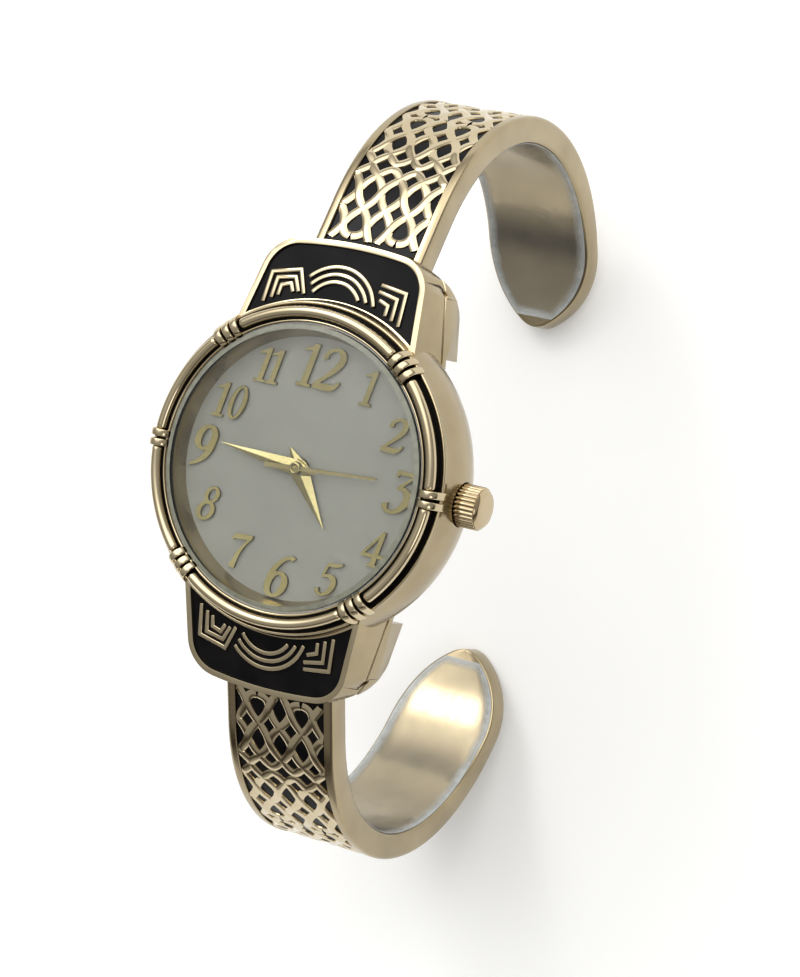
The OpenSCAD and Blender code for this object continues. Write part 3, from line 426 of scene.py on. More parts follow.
def drawLine(name, points, closed=False):
    # a point, extruded from place to place; a closed line is filled with one face
    clearPick()
    bpy.ops.mesh.primitive_plane_add(size=mm)
    line = bpy.context.object
    line.name = name
    openEdit(line)
    bpy.ops.mesh.merge(type="CENTER")
    bpy.ops.transform.translate(value=Vector(points[0]) * mm)
    for here, there in zip(points, points[1:]):
        bpy.ops.mesh.extrude_vertices_move(
            TRANSFORM_OT_translate={"value": (Vector(there) - Vector(here)) * mm})
    if closed:
        bpy.ops.mesh.select_all(action="SELECT")
        bpy.ops.mesh.edge_face_add()
    closeEdit()
    return line


def drawFlat(name, points, z=0):
    return drawLine(name, [(x, y, z) for x, y in points], closed=True)


def extrudeBy(step):
    bpy.ops.mesh.extrude_region_move(TRANSFORM_OT_translate={"value": Vector(step) * mm})


def extrudePiece(piece, step):
    openEdit(piece, "FACE")
    extrudeBy(step)
    turnFacesOut()


def spinLine(line, steps):
    openEdit(line)
    bpy.ops.mesh.spin(steps=steps, angle=2 * math.pi, center=(0, 0, 0), axis=(0, 0, 1))
    closeEdit()
    squareUp(line)


def spunBody(name, section, steps=180):
    # section: (radius, height) points, from the axis out and back to it
    body = drawLine(name, [(r, 0, z) for r, z in section])
    spinLine(body, steps)
    return body


def spunRing(name, section, steps=180):
    # as spunBody, but clear of the axis and joined end to start
    return spunBody(name, section + section[:1], steps)


def addCylinder(radius, depth, place=(0, 0, 0), rotation=(0, 0, 0), vertices=96):
    clearPick()
    bpy.ops.mesh.primitive_cylinder_add(vertices=vertices, radius=radius * mm, depth=depth * mm,
        location=Vector(place) * mm, rotation=rotation)
    return bpy.context.object


def addBox(size, place, rotation=(0, 0, 0)):
    clearPick()
    bpy.ops.mesh.primitive_cube_add(size=mm, scale=size, location=Vector(place) * mm,
        rotation=rotation)
    return bpy.context.object


def addModifier(piece, kind, **settings):
    pick(piece)
    modifier = piece.modifiers.new(kind.title(), kind)
    for key, value in settings.items():
        setattr(modifier, key, value)
    bpy.ops.object.modifier_apply(modifier=modifier.name)


def roundEdges(piece, width, segments=2, angle=35):
    addModifier(piece, "BEVEL", width=width * mm, segments=segments, limit_method="ANGLE",
        angle_limit=math.radians(angle))


def cutWith(piece, cutter, operation="DIFFERENCE"):
    addModifier(piece, "BOOLEAN", object=cutter, operation=operation, solver="EXACT")
    bpy.data.objects.remove(cutter)


def smoothPiece(piece, angle=35):
    pick(piece)
    bpy.ops.object.shade_smooth_by_angle(angle=math.radians(angle))


def joinPieces(name, parts):
    clearPick()
    for part in parts:
        part.select_set(True)
    bpy.context.view_layer.objects.active = parts[0]
    bpy.ops.object.join()
    parts[0].name = name
    return parts[0]


def copyPiece(piece, name):
    pick(piece)
    bpy.ops.object.duplicate(linked=False)
    bpy.context.object.name = name
    return bpy.context.object


def applyPlace(piece):
    pick(piece)
    bpy.ops.object.transform_apply(location=True, rotation=True, scale=True)


def mirrorPiece(piece):
    # the six o'clock copy of a twelve o'clock piece
    piece.scale = (1, -1, 1)
    applyPlace(piece)
    openEdit(piece, "FACE")
    turnFacesOut()


def turnPiece(piece, degrees):
    piece.rotation_euler = (0, 0, math.radians(degrees))
    applyPlace(piece)


def moveMesh(piece, place):
    # place takes a point in millimetres and gives its new place
    for vertex in piece.data.vertices:
        vertex.co = Vector(place(*(vertex.co / mm))) * mm
    piece.data.update()


def finishPiece(piece, slot, body, node, finish=None, shadedFlank=None):
    # the finish of the steep faces, where it isn't that of the rest; a darker gold given there is
    # painted shade on the sides
    piece.data.materials.clear()
    piece.data.materials.append(finish or finishes[slot])
    if shadedFlank:
        piece.data.materials.append(shadedFlank)
        for face in piece.data.polygons:
            face.material_index = int(abs(face.normal.z) < 0.6)
    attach(piece, body)
    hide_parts(node)


def arcPoints(cx, cy, radius, start, end, steps):
    return [(cx + radius * math.cos(math.radians(start + (end - start) * k / steps)),
        cy + radius * math.sin(math.radians(start + (end - start) * k / steps)))
        for k in range(steps + 1)]


def strokeOutline(points, widths):
    # outline of a line of changing width, with mitred corners
    left, right = [], []
    last = len(points) - 1
    for k, (x, y) in enumerate(points):
        before = Vector(points[k]) - Vector(points[max(k - 1, 0)])
        after = Vector(points[min(k + 1, last)]) - Vector(points[k])
        before = (before if k else after).normalized()
        after = (after if k < last else before).normalized()
        along = (before + after).normalized()
        half = widths[k] / 2 / max(0.5, along.dot(after))
        left.append((x - along.y * half, y + along.x * half))
        right.append((x + along.y * half, y - along.x * half))
    return left + right[::-1]


# Round case: barrel wall, step, fine beads and the channel that holds the bezel ring
caseRound = {
    "wallRadius": 7.0, "wallCentre": (7.3, 5.52), "bottom": 0.92, "shoulder": 7.9, "wallSteps": 14,
    "foot": [(12.1, 0.92), (12.5, 0.90)], "rim": [(13.865, 8.02), (13.86, 8.14)],
    "outerBead": (13.71, 8.30, 0.14), "innerBead": (12.15, 9.05, 0.10),
    "channel": [(13.565, 8.14), (13.54, 8.10), (13.32, 8.10), (13.29, 8.13), (13.27, 8.60),
        (13.2, 8.64), (12.30, 8.70), (12.26, 8.72)],
    "inside": [(12.05, 8.15), (11.66, 8.15), (11.66, 6.5), (11.72, 6.45), (11.72, 1.0)],
    "seatRadius": 1.89, "seatDepth": 3, "seatAt": (14.86, 0, 5.1),
    "notchSize": (1, 0.95, 0.75), "notchAt": (12.85, 37, 1.25), "steps": 216,
}


def barrelAt(z):
    radius, (r, middle) = caseRound["wallRadius"], caseRound["wallCentre"]
    return r + math.sqrt(radius * radius - (z - middle) ** 2)


def buildCaseRound(values):
    low, steps = values["bottom"], values["wallSteps"]
    heights = [low + (values["shoulder"] - low) * k / steps for k in range(steps + 1)]
    wall = [(barrelAt(z), z) for z in heights]
    section = values["foot"] + wall + values["rim"]
    section += arcPoints(*values["outerBead"], -25, 180, 8) + values["channel"]
    section += arcPoints(*values["innerBead"], 0, 180, 8) + values["inside"]
    case = spunRing("caseRound", section, values["steps"])
    # a close seat for the crown in the barrel wall, and the notch that opens the back
    cutWith(case, addCylinder(values["seatRadius"], values["seatDepth"], values["seatAt"],
        (0, math.pi / 2, 0)))
    r, angle, z = values["notchAt"]
    turn = math.radians(angle)
    cutWith(case, addBox(values["notchSize"], (r * math.cos(turn), r * math.sin(turn), z),
        (0, 0, turn)))
    squareUp(case)
    smoothPiece(case, 32)
    # the barrel wall's steep faces take the darker satin gold as painted shade
    finishPiece(case, "gold_plate", "watch_case", "case", shadedFlank=satinGoldPaintedShade)


buildCaseRound(caseRound)
print("round case")

# Black enamel in the bezel: a wide strip under the ring and a narrow one in the outer step
bezelEnamel = {
    "inner": [(12.24, 8.66), (13.28, 8.58), (13.28, 8.81), (12.9, 8.86), (12.5, 8.92),
        (12.24, 8.98)],
    "outer": [(13.30, 8.07), (13.56, 8.07), (13.575, 8.20), (13.5, 8.20), (13.4, 8.20),
        (13.30, 8.20)],
}


def buildBezelEnamel(values):
    for side in ("inner", "outer"):
        ring = spunRing("bezelEnamel" + side.title(), values[side])
        smoothPiece(ring, 40)
        finishPiece(ring, "black_enamel", "watch_case", "bezel_enamel_" + side)


buildBezelEnamel(bezelEnamel)

# Bezel ring in six rounded lengths, and the bars that seem to bind it
bezelRing = {
    "radius": 12.9, "height": 9.1, "tube": 0.46, "endGap": 1.25,
    # where each length ends before the middle of a group of two or three bars, in degrees
    "clear": {2: 2.85, 3: 5.5},
    # a dome's rows: how far each stands out from the last, and how wide it is beside it
    "dome": [(0.10, 0.93), (0.09, 0.80), (0.06, 0.55)],
}
bindingBars = {
    "width": 0.64, "thick": 0.34, "round": 0.13, "pitch": 3.7,
    "groups": [(0, 2), (50, 3), (130, 3), (180, 2), (230, 3), (310, 3)],
    "path": [(12.14, 8.72), (12.13, 9.00), (12.22, 9.24), (12.42, 9.44), (12.68, 9.55),
        (12.95, 9.58), (13.22, 9.50), (13.48, 9.25), (13.70, 8.85), (13.86, 8.45),
        (13.90, 8.08)],
}


def buildRingRun(values, start, end):
    clearPick()
    bpy.ops.mesh.primitive_circle_add(vertices=28, radius=values["tube"] * mm, fill_type="NGON",
        location=(values["radius"] * mm, 0, values["height"] * mm), rotation=(math.pi / 2, 0, 0))
    run = bpy.context.object
    run.name = "bezelRun"
    applyPlace(run)
    turnPiece(run, start)
    openEdit(run, "FACE")
    bpy.ops.mesh.spin(steps=max(12, int((end - start) * 1.2)), angle=math.radians(end - start),
        center=(0, 0, 0), axis=(0, 0, -1), use_auto_merge=False)
    bpy.ops.mesh.select_all(action="SELECT")
    bpy.ops.mesh.remove_doubles(threshold=weldGap)
    closeEdit()
    for angle, way in ((math.radians(start), -1), (math.radians(end), 1)):
        outwards = Vector((math.cos(angle), math.sin(angle), 0))
        along = Vector((-outwards.y, outwards.x, 0)) * way
        middle = outwards * values["radius"] + Vector((0, 0, values["height"]))
        openEdit(run, "FACE")
        pickFaces(run, lambda c, n: (c - middle).length < 0.08 and abs(n.dot(along)) > 0.9)
        for step, share in values["dome"]:
            extrudeBy(along * step)
            middle = middle + along * step
            bpy.ops.transform.resize(value=(share, share, share), center_override=middle * mm)
        closeEdit()
    squareUp(run)
    smoothPiece(run, 60)
    return run


def buildBar(values):
    bar = drawLine("bindingBar", [(r, -values["width"] / 2, z) for r, z in values["path"]])
    openEdit(bar, "EDGE")
    extrudeBy((0, values["width"], 0))
    turnFacesOut()
    addModifier(bar, "SOLIDIFY", thickness=values["thick"] * mm, offset=0)
    roundEdges(bar, values["round"], 3, 50)
    smoothPiece(bar, 60)
    return bar


def buildBezel():
    groups = bindingBars["groups"]
    gap, clear = bezelRing["endGap"], bezelRing["clear"]
    runs = [buildRingRun(bezelRing, angle + clear[count] + gap, after - clear[more] - gap)
        for (angle, count), (after, more) in zip(groups, groups[1:] + [(360, groups[0][1])])]
    finishPiece(joinPieces("bezelRing", runs), "gold_plate", "watch_case", "case")
    first = buildBar(bindingBars)
    bars = []
    for angle, count in groups:
        for k in range(count):
            bar = copyPiece(first, "bindingBar")
            turnPiece(bar, angle + (k - (count - 1) / 2) * bindingBars["pitch"])
            bars.append(bar)
    bpy.data.objects.remove(first)
    finishPiece(joinPieces("bezelBars", bars), "gold_plate", "watch_case", "case")


buildBezel()
print("bezel ring and bars")

# Wings: sloping block, plain frame, sunk field, hinge pocket and pin slot
wing = {
    # sideLean: a step in from the tapering side counts a little longer straight across
    "halfWidth": 8.45, "taper": 0.16, "sideLean": 1.006, "from": 11.4, "start": 8.4, "corner": 3.2,
    "endRadius": 37.6, "endCentre": -18.45, "slope": 12.3, "edgeHeight": 7.8, "edgeRound": 0.09,
    "frame": 0.5, "sunk": 0.5, "enamel": 0.25, "fieldFrom": 14.15, "enamelFrom": 13.66,
    "bezelCut": 13.62,
    "under": [(7, -3), (23, -3), (23, 5.3), (18.6, 5.0), (18.3, 4.4), (17.8, 3.1), (17.1, 1.8),
        (16.3, 0.8), (15.4, 0.15), (14.8, 0), (11.2, 0), (11.2, 2.1), (7, 2.1)],
    "pocketHalf": 5.4, "pocketFrom": 14.75, "pocketTop": 4.9,
    "slotSize": (1, 0.3, 1.35), "slotAt": (7.79, 16.65, 3.12), "slotLean": 30,
    # the hinge block under a side face: its top, and how far it stands proud
    "lugTop": 2.8, "lugProud": 0.12,
}
# more than the width, length and height of a wing, for what is cut off
wingReach = (24, 10, 8)


def wingTop(y):
    return wing["edgeHeight"] - (y - wing["from"]) * math.tan(math.radians(wing["slope"]))


def wingSide(y):
    return wing["halfWidth"] - wing["taper"] * (y - wing["from"])


def cornerAt():
    # centre of the round corner that touches both the side line and the end arc
    cy = wing["endCentre"] + wing["endRadius"] - wing["corner"]
    for _ in range(4):
        cx = wingSide(cy) - wing["corner"] * wing["sideLean"]
        cy = wing["endCentre"] + math.sqrt((wing["endRadius"] - wing["corner"]) ** 2 - cx * cx)
    return cx, cy


def wingOutline(inset):
    cx, cy = cornerAt()
    half = wingSide(wing["start"]) - inset * wing["sideLean"]
    lean = math.degrees(math.atan(wing["taper"]))
    turned = math.degrees(math.atan2(cy - wing["endCentre"], cx))
    outline = [(-half, wing["start"]), (half, wing["start"])]
    outline += arcPoints(cx, cy, wing["corner"] - inset, lean, turned, 12)
    outline += arcPoints(0, wing["endCentre"], wing["endRadius"] - inset,
        turned + 1.2, 178.8 - turned, 10)
    outline += arcPoints(-cx, cy, wing["corner"] - inset, 180 - turned, 180 - lean, 12)
    return outline


def slopeCut(piece, depth, keepBelow):
    openEdit(piece)
    lean = math.radians(wing["slope"])
    bpy.ops.mesh.bisect(plane_co=(0, wing["from"] * mm, (wing["edgeHeight"] - depth) * mm),
        plane_no=(0, math.sin(lean), math.cos(lean)), use_fill=True,
        clear_outer=keepBelow, clear_inner=not keepBelow, threshold=weldGap / 2)
    closeEdit()


def wingPrism(name, inset, top=12):
    prism = drawFlat(name, wingOutline(inset), top)
    extrudePiece(prism, (0, 0, -1 - top))
    return prism


def roundCutter(radius):
    return addCylinder(radius, 40, vertices=216)


def buildWingField(name, inset, upper, lower, bezel):
    # the slab between two depths under the slope; without an upper one it is open at the top
    field = wingPrism(name, inset)
    if upper is not None:
        slopeCut(field, upper, True)
    slopeCut(field, lower, False)
    squareUp(field)
    cutWith(field, roundCutter(bezel))
    return field


def buildWingBlock():
    block = wingPrism("wingBlock", 0)
    slopeCut(block, 0, True)
    squareUp(block)
    cutWith(block, wingPrism("hingeBlock", -wing["lugProud"], wing["lugTop"]), "UNION")
    width, length, height = wingReach
    under = drawLine("underCut", [(-width / 2, y, z) for y, z in wing["under"]], closed=True)
    extrudePiece(under, (width, 0, 0))
    cutWith(block, under)
    cutWith(block, roundCutter(wing["bezelCut"]))
    cutWith(block, buildWingField("fieldCut", wing["frame"], None, wing["sunk"], wing["fieldFrom"]))
    cutWith(block, addBox((2 * wing["pocketHalf"], length, height),
        (0, wing["pocketFrom"] + length / 2, wing["pocketTop"] - height / 2)))
    x, y, z = wing["slotAt"]
    for side in (-1, 1):
        cutWith(block, addBox(wing["slotSize"], (side * x, y, z),
            (-math.radians(wing["slotLean"]), 0, 0)))
    squareUp(block)
    roundEdges(block, wing["edgeRound"], 2, 38)
    smoothPiece(block, 35)
    return block


relief = {
    "width": 0.36, "rise": 0.30, "round": 0.09, "rooted": 0.06,
    "lines": [
        [(-6.65, 12.95), (-6.6, 15.6), (-4.0, 16.2), (-3.1, 14.2)],
        [(-6.0, 13.4), (-5.95, 15.2), (-4.3, 15.5), (-3.65, 14.3)],
        [(-5.45, 13.7), (-5.4, 14.65), (-4.55, 14.9), (-4.15, 14.2)],
        [(3.65, 16.2), (6.1, 15.85), (6.25, 13.05)],
        [(3.6, 15.62), (5.45, 15.25), (5.5, 13.4)],
        [(3.85, 14.95), (4.8, 14.6), (4.8, 13.7)],
    ],
    "arches": [(3.88, 17, 138), (3.24, 24, 142), (2.6, 32, 148)], "archCentre": (-0.2, 13.12),
}


def buildRelief():
    strokes = relief["lines"] + [arcPoints(*relief["archCentre"], radius, start, end, 26)
        for radius, start, end in relief["arches"]]
    lines = []
    for points in strokes:
        line = drawFlat("reliefLine", strokeOutline(points, [relief["width"]] * len(points)))
        extrudePiece(line, (0, 0, relief["rise"]))
        roundEdges(line, relief["round"], 2, 50)
        lines.append(line)
    whole = joinPieces("wingRelief", lines)
    moveMesh(whole, lambda x, y, z: (x, y, wingTop(y) - wing["enamel"] - relief["rooted"] + z))
    cutWith(whole, roundCutter(wing["bezelCut"]))
    smoothPiece(whole, 40)
    return whole


def buildWings():
    block = buildWingBlock()
    enamel = buildWingField("wingEnamel", wing["frame"] - 0.02, wing["enamel"], wing["sunk"] + 0.03,
        wing["enamelFrom"])
    smoothPiece(enamel, 35)
    # the wing block's steep faces take the darker satin gold as painted shade
    for name, upper, slot, shadedFlank in (("WingBlock", block, "gold_plate", satinGoldPaintedShade),
            ("WingEnamel", enamel, "black_enamel", None),
            ("WingRelief", buildRelief(), "gold_plate", None)):
        lower = copyPiece(upper, "lower" + name)
        mirrorPiece(lower)
        upper.name = "upper" + name
        for side, piece in (("upper", upper), ("lower", lower)):
            node = side + "_wing_enamel" if name == "WingEnamel" else "case"
            finishPiece(piece, slot, "watch_case", node, shadedFlank=shadedFlank)


buildWings()
print("wings with their relief")

# Cuff arms: one straight root and two tangent arcs. u is the way along the outer face from the
# hinge, d the depth under it
cuff = {
    "width": 10.6, "thick": 2.4, "rail": 0.9, "sunk": 0.45, "enamel": 0.25,
    # the two arcs as centre, radius and angle, both round the height called middle
    "upper": (15.73, 18.14, 66.0), "lower": (13.62, 20.25, 83.6), "middle": -15.05,
    # the tip, seen from above: side arcs from tipFrom on, then a round end from tipSwitch on
    "rootReach": 6.031, "tipFrom": 23.742, "tipSide": 9.0, "tipSwitch": 16.29, "tipRound": 2.4,
    "tipCentre": 18.277,
    # past squareFrom degrees every depth is fitted to end at tipEnd, which cuts the tip upright
    "squareFrom": -60, "tipEnd": 15.88,
    "hinge": (16.5, 3.0), "knuckleRadius": 1.5, "knuckleWidth": 3.35, "knuckleAt": 3.625,
    "pinRadius": 0.63,
}
upperRun = cuff["rootReach"] + math.radians(cuff["upper"][2]) * cuff["upper"][1]
armRun = upperRun + math.radians(cuff["lower"][2]) * cuff["lower"][1]


def armAngle(u):
    if u < cuff["rootReach"]:
        return cuff["upper"][2]
    if u < upperRun:
        return cuff["upper"][2] - math.degrees((u - cuff["rootReach"]) / cuff["upper"][1])
    return -math.degrees((u - upperRun) / cuff["lower"][1])


def armPoint(u, d):
    angle = armAngle(u)
    square = cuff["squareFrom"]
    if angle < square:
        centre, radius, end = cuff["lower"]
        last = math.degrees(math.acos((cuff["tipEnd"] - centre) / (radius - d)))
        angle = square + (angle - square) * (last + square) / (end + square)
    centre, radius, _ = cuff["upper"] if angle > 0 else cuff["lower"]
    c, s = math.cos(math.radians(angle)), math.sin(math.radians(angle))
    y, z = centre + (radius - d) * c, cuff["middle"] + (radius - d) * s
    if u < cuff["rootReach"]:
        y -= (cuff["rootReach"] - u) * s
        z += (cuff["rootReach"] - u) * c
    return y, z


def armHalf(u, y):
    half, side = cuff["width"] / 2, cuff["tipSide"]
    if u < upperRun or y > cuff["tipFrom"]:
        return half
    if y > cuff["tipSwitch"]:
        return half - side + math.sqrt(side ** 2 - (cuff["tipFrom"] - y) ** 2)
    return math.sqrt(max(0.0004, cuff["tipRound"] ** 2 - (cuff["tipCentre"] - y) ** 2))


def layOnArm(x, u, z):
    # the width follows the tip: the rails keep theirs, the field between them narrows
    y, height = armPoint(u, -z)
    half, full, rail = armHalf(u, y), cuff["width"] / 2, cuff["rail"]
    field = full - rail
    if abs(x) > field:
        x = math.copysign(max(0.0, half - (full - abs(x))), x)
    else:
        x = x * max(0.0, half - rail) / field
    return x, y, height


def armStations(end):
    # steps along the arm, short ones at the tip
    stations, u = [0], 0
    while u < end - 0.01:
        u = min(end, u + (0.7 if u < 46 else 0.45 if u < 54 else 0.16))
        stations.append(u)
    return stations


def extrudeAlong(piece, stations):
    openEdit(piece, "FACE")
    for here, there in zip(stations, stations[1:]):
        extrudeBy((0, there - here, 0))
    turnFacesOut()


def buildArm():
    half, thick = cuff["width"] / 2, cuff["thick"]
    field, sunk = half - cuff["rail"], cuff["sunk"]
    side = [(field - 0.001, -sunk), (field, -0.07), (field + 0.07, 0), (half - 0.42, 0),
        (half - 0.24, -0.03), (half - 0.10, -0.12), (half - 0.02, -0.28), (half, -0.42),
        (half, 0.32 - thick), (half - 0.05, 0.16 - thick), (half - 0.16, 0.05 - thick),
        (half - 0.32, -thick)]
    section = side + [(x, -thick) for x in (3.3, 1.6, 0, -1.6, -3.3)]
    section += [(-x, z) for x, z in side[::-1]] + [(x, -sunk) for x in (-2.2, 0, 2.2)]
    arm = drawLine("cuffArm", [(x, 0, z) for x, z in section], closed=True)
    extrudeAlong(arm, armStations(armRun))
    moveMesh(arm, layOnArm)
    squareUp(arm)
    smoothPiece(arm, 40)
    # rolled knuckles on the hinge pin, with the spring's gap between them
    y, z = cuff["hinge"]
    acrossX = (0, math.pi / 2, 0)
    parts = [arm]
    for side in (-1, 1):
        knuckle = addCylinder(cuff["knuckleRadius"], cuff["knuckleWidth"],
            (side * cuff["knuckleAt"], y, z), acrossX, 64)
        applyPlace(knuckle)
        cutWith(knuckle, addCylinder(cuff["pinRadius"], 12, (0, y, z), acrossX, 48))
        squareUp(knuckle)
        roundEdges(knuckle, 0.12)
        smoothPiece(knuckle)
        parts.append(knuckle)
    return joinPieces("cuffArm", parts)


def buildArmEnamel():
    field, depth = cuff["width"] / 2 - cuff["rail"], cuff["enamel"]
    section = [(x, -depth) for x in (field, 3.0, 1.5, 0, -1.5, -3.0, -field)]
    section += [(x, -cuff["sunk"] - 0.02) for x in (-field, 0, field)]
    enamel = drawLine("armEnamel", [(x, 0, z) for x, z in section], closed=True)
    extrudeAlong(enamel, armStations(armRun - 0.4))
    moveMesh(enamel, lambda x, u, z: layOnArm(x, u + 1.6 * (1 - u / armRun), z))
    squareUp(enamel)
    smoothPiece(enamel, 40)
    return enamel


# Knotwork: strands on a lattice, mirrored at every half repeat along the arm
plait = {
    "start": 2.2, "end": 1.3, "halves": 7, "strand": 0.84, "row": 1.09, "turn": 0.42,
    "firstColumn": 0.18, "column": 0.219, "wave": 0.17, "top": -0.06, "over": 0.045,
    "edge": 0.17, "round": 0.14, "clear": 0.04,
}
plaitStep = (armRun - plait["start"]) / plait["halves"]


def latticeColumn(k):
    return plaitStep * (plait["firstColumn"] + plait["column"] * (k - 1))


def latticeStrands():
    c, turn, end = latticeColumn, plait["turn"], plaitStep
    rising = [(0, 0.34), (0.5, 0.42), (c(1), 1), (c(2), 2), (c(3), 3), (c(4) - turn, 3.72),
        (c(4), 3.9), (c(4) + turn, 3.72), (end, 3)]
    looped = [(0.33, 2), (0.42, 2.35), (0.75, 2.75), (c(1), 3.05), (c(2) - turn, 3.74),
        (c(2), 3.9), (c(2) + turn, 3.74), (c(3), 3), (c(4), 2), (c(4) + 0.55, 1.72),
        (end - 0.42, 1.4), (end - 0.33, 1), (end - 0.42, 0.6), (c(4) + 0.55, 0.3), (c(4), 0),
        (c(3), -1), (c(2), -2), (c(1), -3), (0.4, -3.7), (0, -3.85)]
    falling = [(0.33, 2), (0.42, 1.65), (0.75, 1.25), (c(1), 1), (c(2), 0), (c(3), -1),
        (c(4), -2), (end, -3)]
    return rising, looped, falling


def softened(points, rounds=2):
    # cuts the corners of a line, so that it bends softly
    for _ in range(rounds):
        cut = [points[0]]
        for (ax, ay), (bx, by) in zip(points, points[1:]):
            cut += [(ax * 0.75 + bx * 0.25, ay * 0.75 + by * 0.25),
                (ax * 0.25 + bx * 0.75, ay * 0.25 + by * 0.75)]
        points = cut + [points[-1]]
    return points


def wovenPath(strand):
    # a station holds the place across and along, the way, and how far the strand stands over
    line = softened([(row * plait["row"], v) for v, row in strand], 3)
    stations, last = [], len(line) - 1
    for k, (x, v) in enumerate(line):
        ax, av = line[max(k - 1, 0)]
        bx, bv = line[min(k + 1, last)]
        length = math.hypot(bx - ax, bv - av)
        way = ((bx - ax) / length, (bv - av) / length)
        lean = max(-1.0, min(1.0, (way[0] * way[1]) / 0.40))
        phase = math.pi * (v / plaitStep - plait["firstColumn"]) / plait["column"]
        x -= lean * plait["wave"] * math.sin(phase)
        stations.append((x, v, way, lean * plait["over"] * math.cos(phase)))
    return stations


def buildStrand(stations, side, lift):
    half, edge, corner = plait["strand"] / 2, plait["edge"], plait["round"]
    low, high = -cuff["sunk"] + 0.02, plait["top"]
    section = [(-half, low), (-half, high - edge), (-half + corner * 0.3, high - edge * 0.4),
        (-half + corner, high - 0.03), (-half / 3, high), (half / 3, high),
        (half - corner, high - 0.03), (half - corner * 0.3, high - edge * 0.4),
        (half, high - edge), (half, low)]
    strand = drawLine("strand", [(x, 0, z) for x, z in section], closed=True)
    extrudeAlong(strand, list(range(len(stations))))

    def place(x, along, z):
        px, pv, way, over = stations[round(along)]
        z = z + over + lift if z > -0.4 else z
        return (px + x * way[1]) * side, pv - x * way[0], z

    moveMesh(strand, place)
    return strand


def buildPlait():
    strands = []
    for index, strand in enumerate(latticeStrands()):
        for side in (-1, 1):
            strands.append(buildStrand(wovenPath(strand), side,
                0.003 * index + (0.0015 if side > 0 else 0)))
    half = joinPieces("plaitHalf", strands)
    halves = []
    for k in range(plait["halves"]):
        piece = copyPiece(half, "plaitHalf")
        start, flip = plait["start"] + k * plaitStep, k % 2 == 1
        moveMesh(piece, lambda x, v, z: (x, start + (plaitStep - v if flip else v), z))
        squareUp(piece)
        halves.append(piece)
    bpy.data.objects.remove(half)
    whole = joinPieces("armPlait", halves)
    edge, end = cuff["width"] / 2 - cuff["rail"] - plait["clear"], armRun - plait["end"]
    moveMesh(whole, lambda x, u, z: layOnArm(max(-edge, min(edge, x)), min(u, end), z))
    squareUp(whole)
    smoothPiece(whole, 42)
    return whole


# Clear film left on the arms' inner faces, milky along its lifted rim
film = {"start": 19.0, "end": 55.3, "inset": 0.3, "clear": 0.05, "thick": 0.07, "rimWidth": 1.1}


def buildFilm():
    clearPick()
    bpy.ops.mesh.primitive_grid_add(x_subdivisions=26, y_subdivisions=90, size=mm)
    sheet = bpy.context.object
    applyPlace(sheet)
    length = film["end"] - film["start"]
    moveMesh(sheet, lambda x, v, z: (x * 2, (v + 0.5) * length, 0))
    rim = sheet.data.attributes.new("rim", "FLOAT", "POINT")
    for k, vertex in enumerate(sheet.data.vertices):
        share, along, _ = vertex.co / mm
        u = film["start"] + along
        y, z = armPoint(u, cuff["thick"] + film["clear"])
        half = max(0.2, armHalf(u, y) - film["inset"])
        edge = min(half * (1 - abs(share)), along * 0.9, (length - along) * 0.9)
        rim.data[k].value = max(0.0, 1 - edge / film["rimWidth"])
        vertex.co = Vector((half * share, y, z)) * mm
    sheet.data.update()
    openEdit(sheet, "FACE")
    turnFacesOut()
    addModifier(sheet, "SOLIDIFY", thickness=film["thick"] * mm, offset=0)
    smoothPiece(sheet, 40)
    return sheet


def buildCuff():
    for name, build, slot in (("arm", buildArm, "gold_plate"),
            ("arm_enamel", buildArmEnamel, "black_enamel"),
            ("arm_plait", buildPlait, "gold_plate"), ("film", buildFilm, "film")):
        upper = build()
        lower = copyPiece(upper, "lowerCopy")
        mirrorPiece(lower)
        for side, piece in (("upper", upper), ("lower", lower)):
            piece.name = side + "".join(word.title() for word in name.split("_"))
            # the arms take the darker satin gold, whose darker colour is painted shade
            finishPiece(piece, slot, side + "_cuff_arm", side + "_" + name,
                finish=satinGoldPaintedShade if name == "arm" else None)
        print("cuff:", name)


buildCuff()

# Crown: fluted, with a chamfered flat end face and a plain collar in its seat
crown = {
    "at": (13.62, 0, 5.1), "length": 2.34, "radius": 1.8, "flutes": 28, "fluteDepth": 0.13,
    "capOut": 0.04,
    "cap": [(0, 0.30), (0.8, 0.31), (1.36, 0.30), (1.43, 0.27), (1.66, 0.05), (1.69, 0.0),
        (1.64, -0.06), (0, -0.06)],
    "collar": [(0, -0.16), (1.35, -0.16), (1.5, -0.10), (1.6, 0.0), (1.6, 0.06), (0, 0.06)],
}


def buildCrown(values):
    steps, points = values["flutes"] * 8, []
    for k in range(steps):
        angle = 2 * math.pi * k / steps
        wave = abs(math.sin(angle * values["flutes"] / 2))
        r = values["radius"] - values["fluteDepth"] * (1 - wave ** 0.7)
        points.append((0, r * math.cos(angle), r * math.sin(angle)))
    body = drawLine("crownBody", points, closed=True)
    extrudePiece(body, (values["length"], 0, 0))
    roundEdges(body, 0.05, 2, 60)
    smoothPiece(body, 50)
    parts = [body]
    # the cap and the collar are spun upright, then laid over on the stem's axis
    for name, start in (("cap", values["length"] + values["capOut"]), ("collar", 0)):
        part = spunBody("crownPart", values[name], 96)
        moveMesh(part, lambda x, y, z: (z + start, x, y))
        squareUp(part)
        smoothPiece(part, 30)
        parts.append(part)
    whole = joinPieces("crownPiece", parts)
    moveMesh(whole, lambda x, y, z: Vector((x, y, z)) + Vector(values["at"]))
    # the crown takes the rosier, darker gold of painted reflection and shade
    finishPiece(whole, "gold_plate", "crown_and_stem", "crown", finish=goldPaintedWarmShade)


buildCrown(crown)
print("crown")

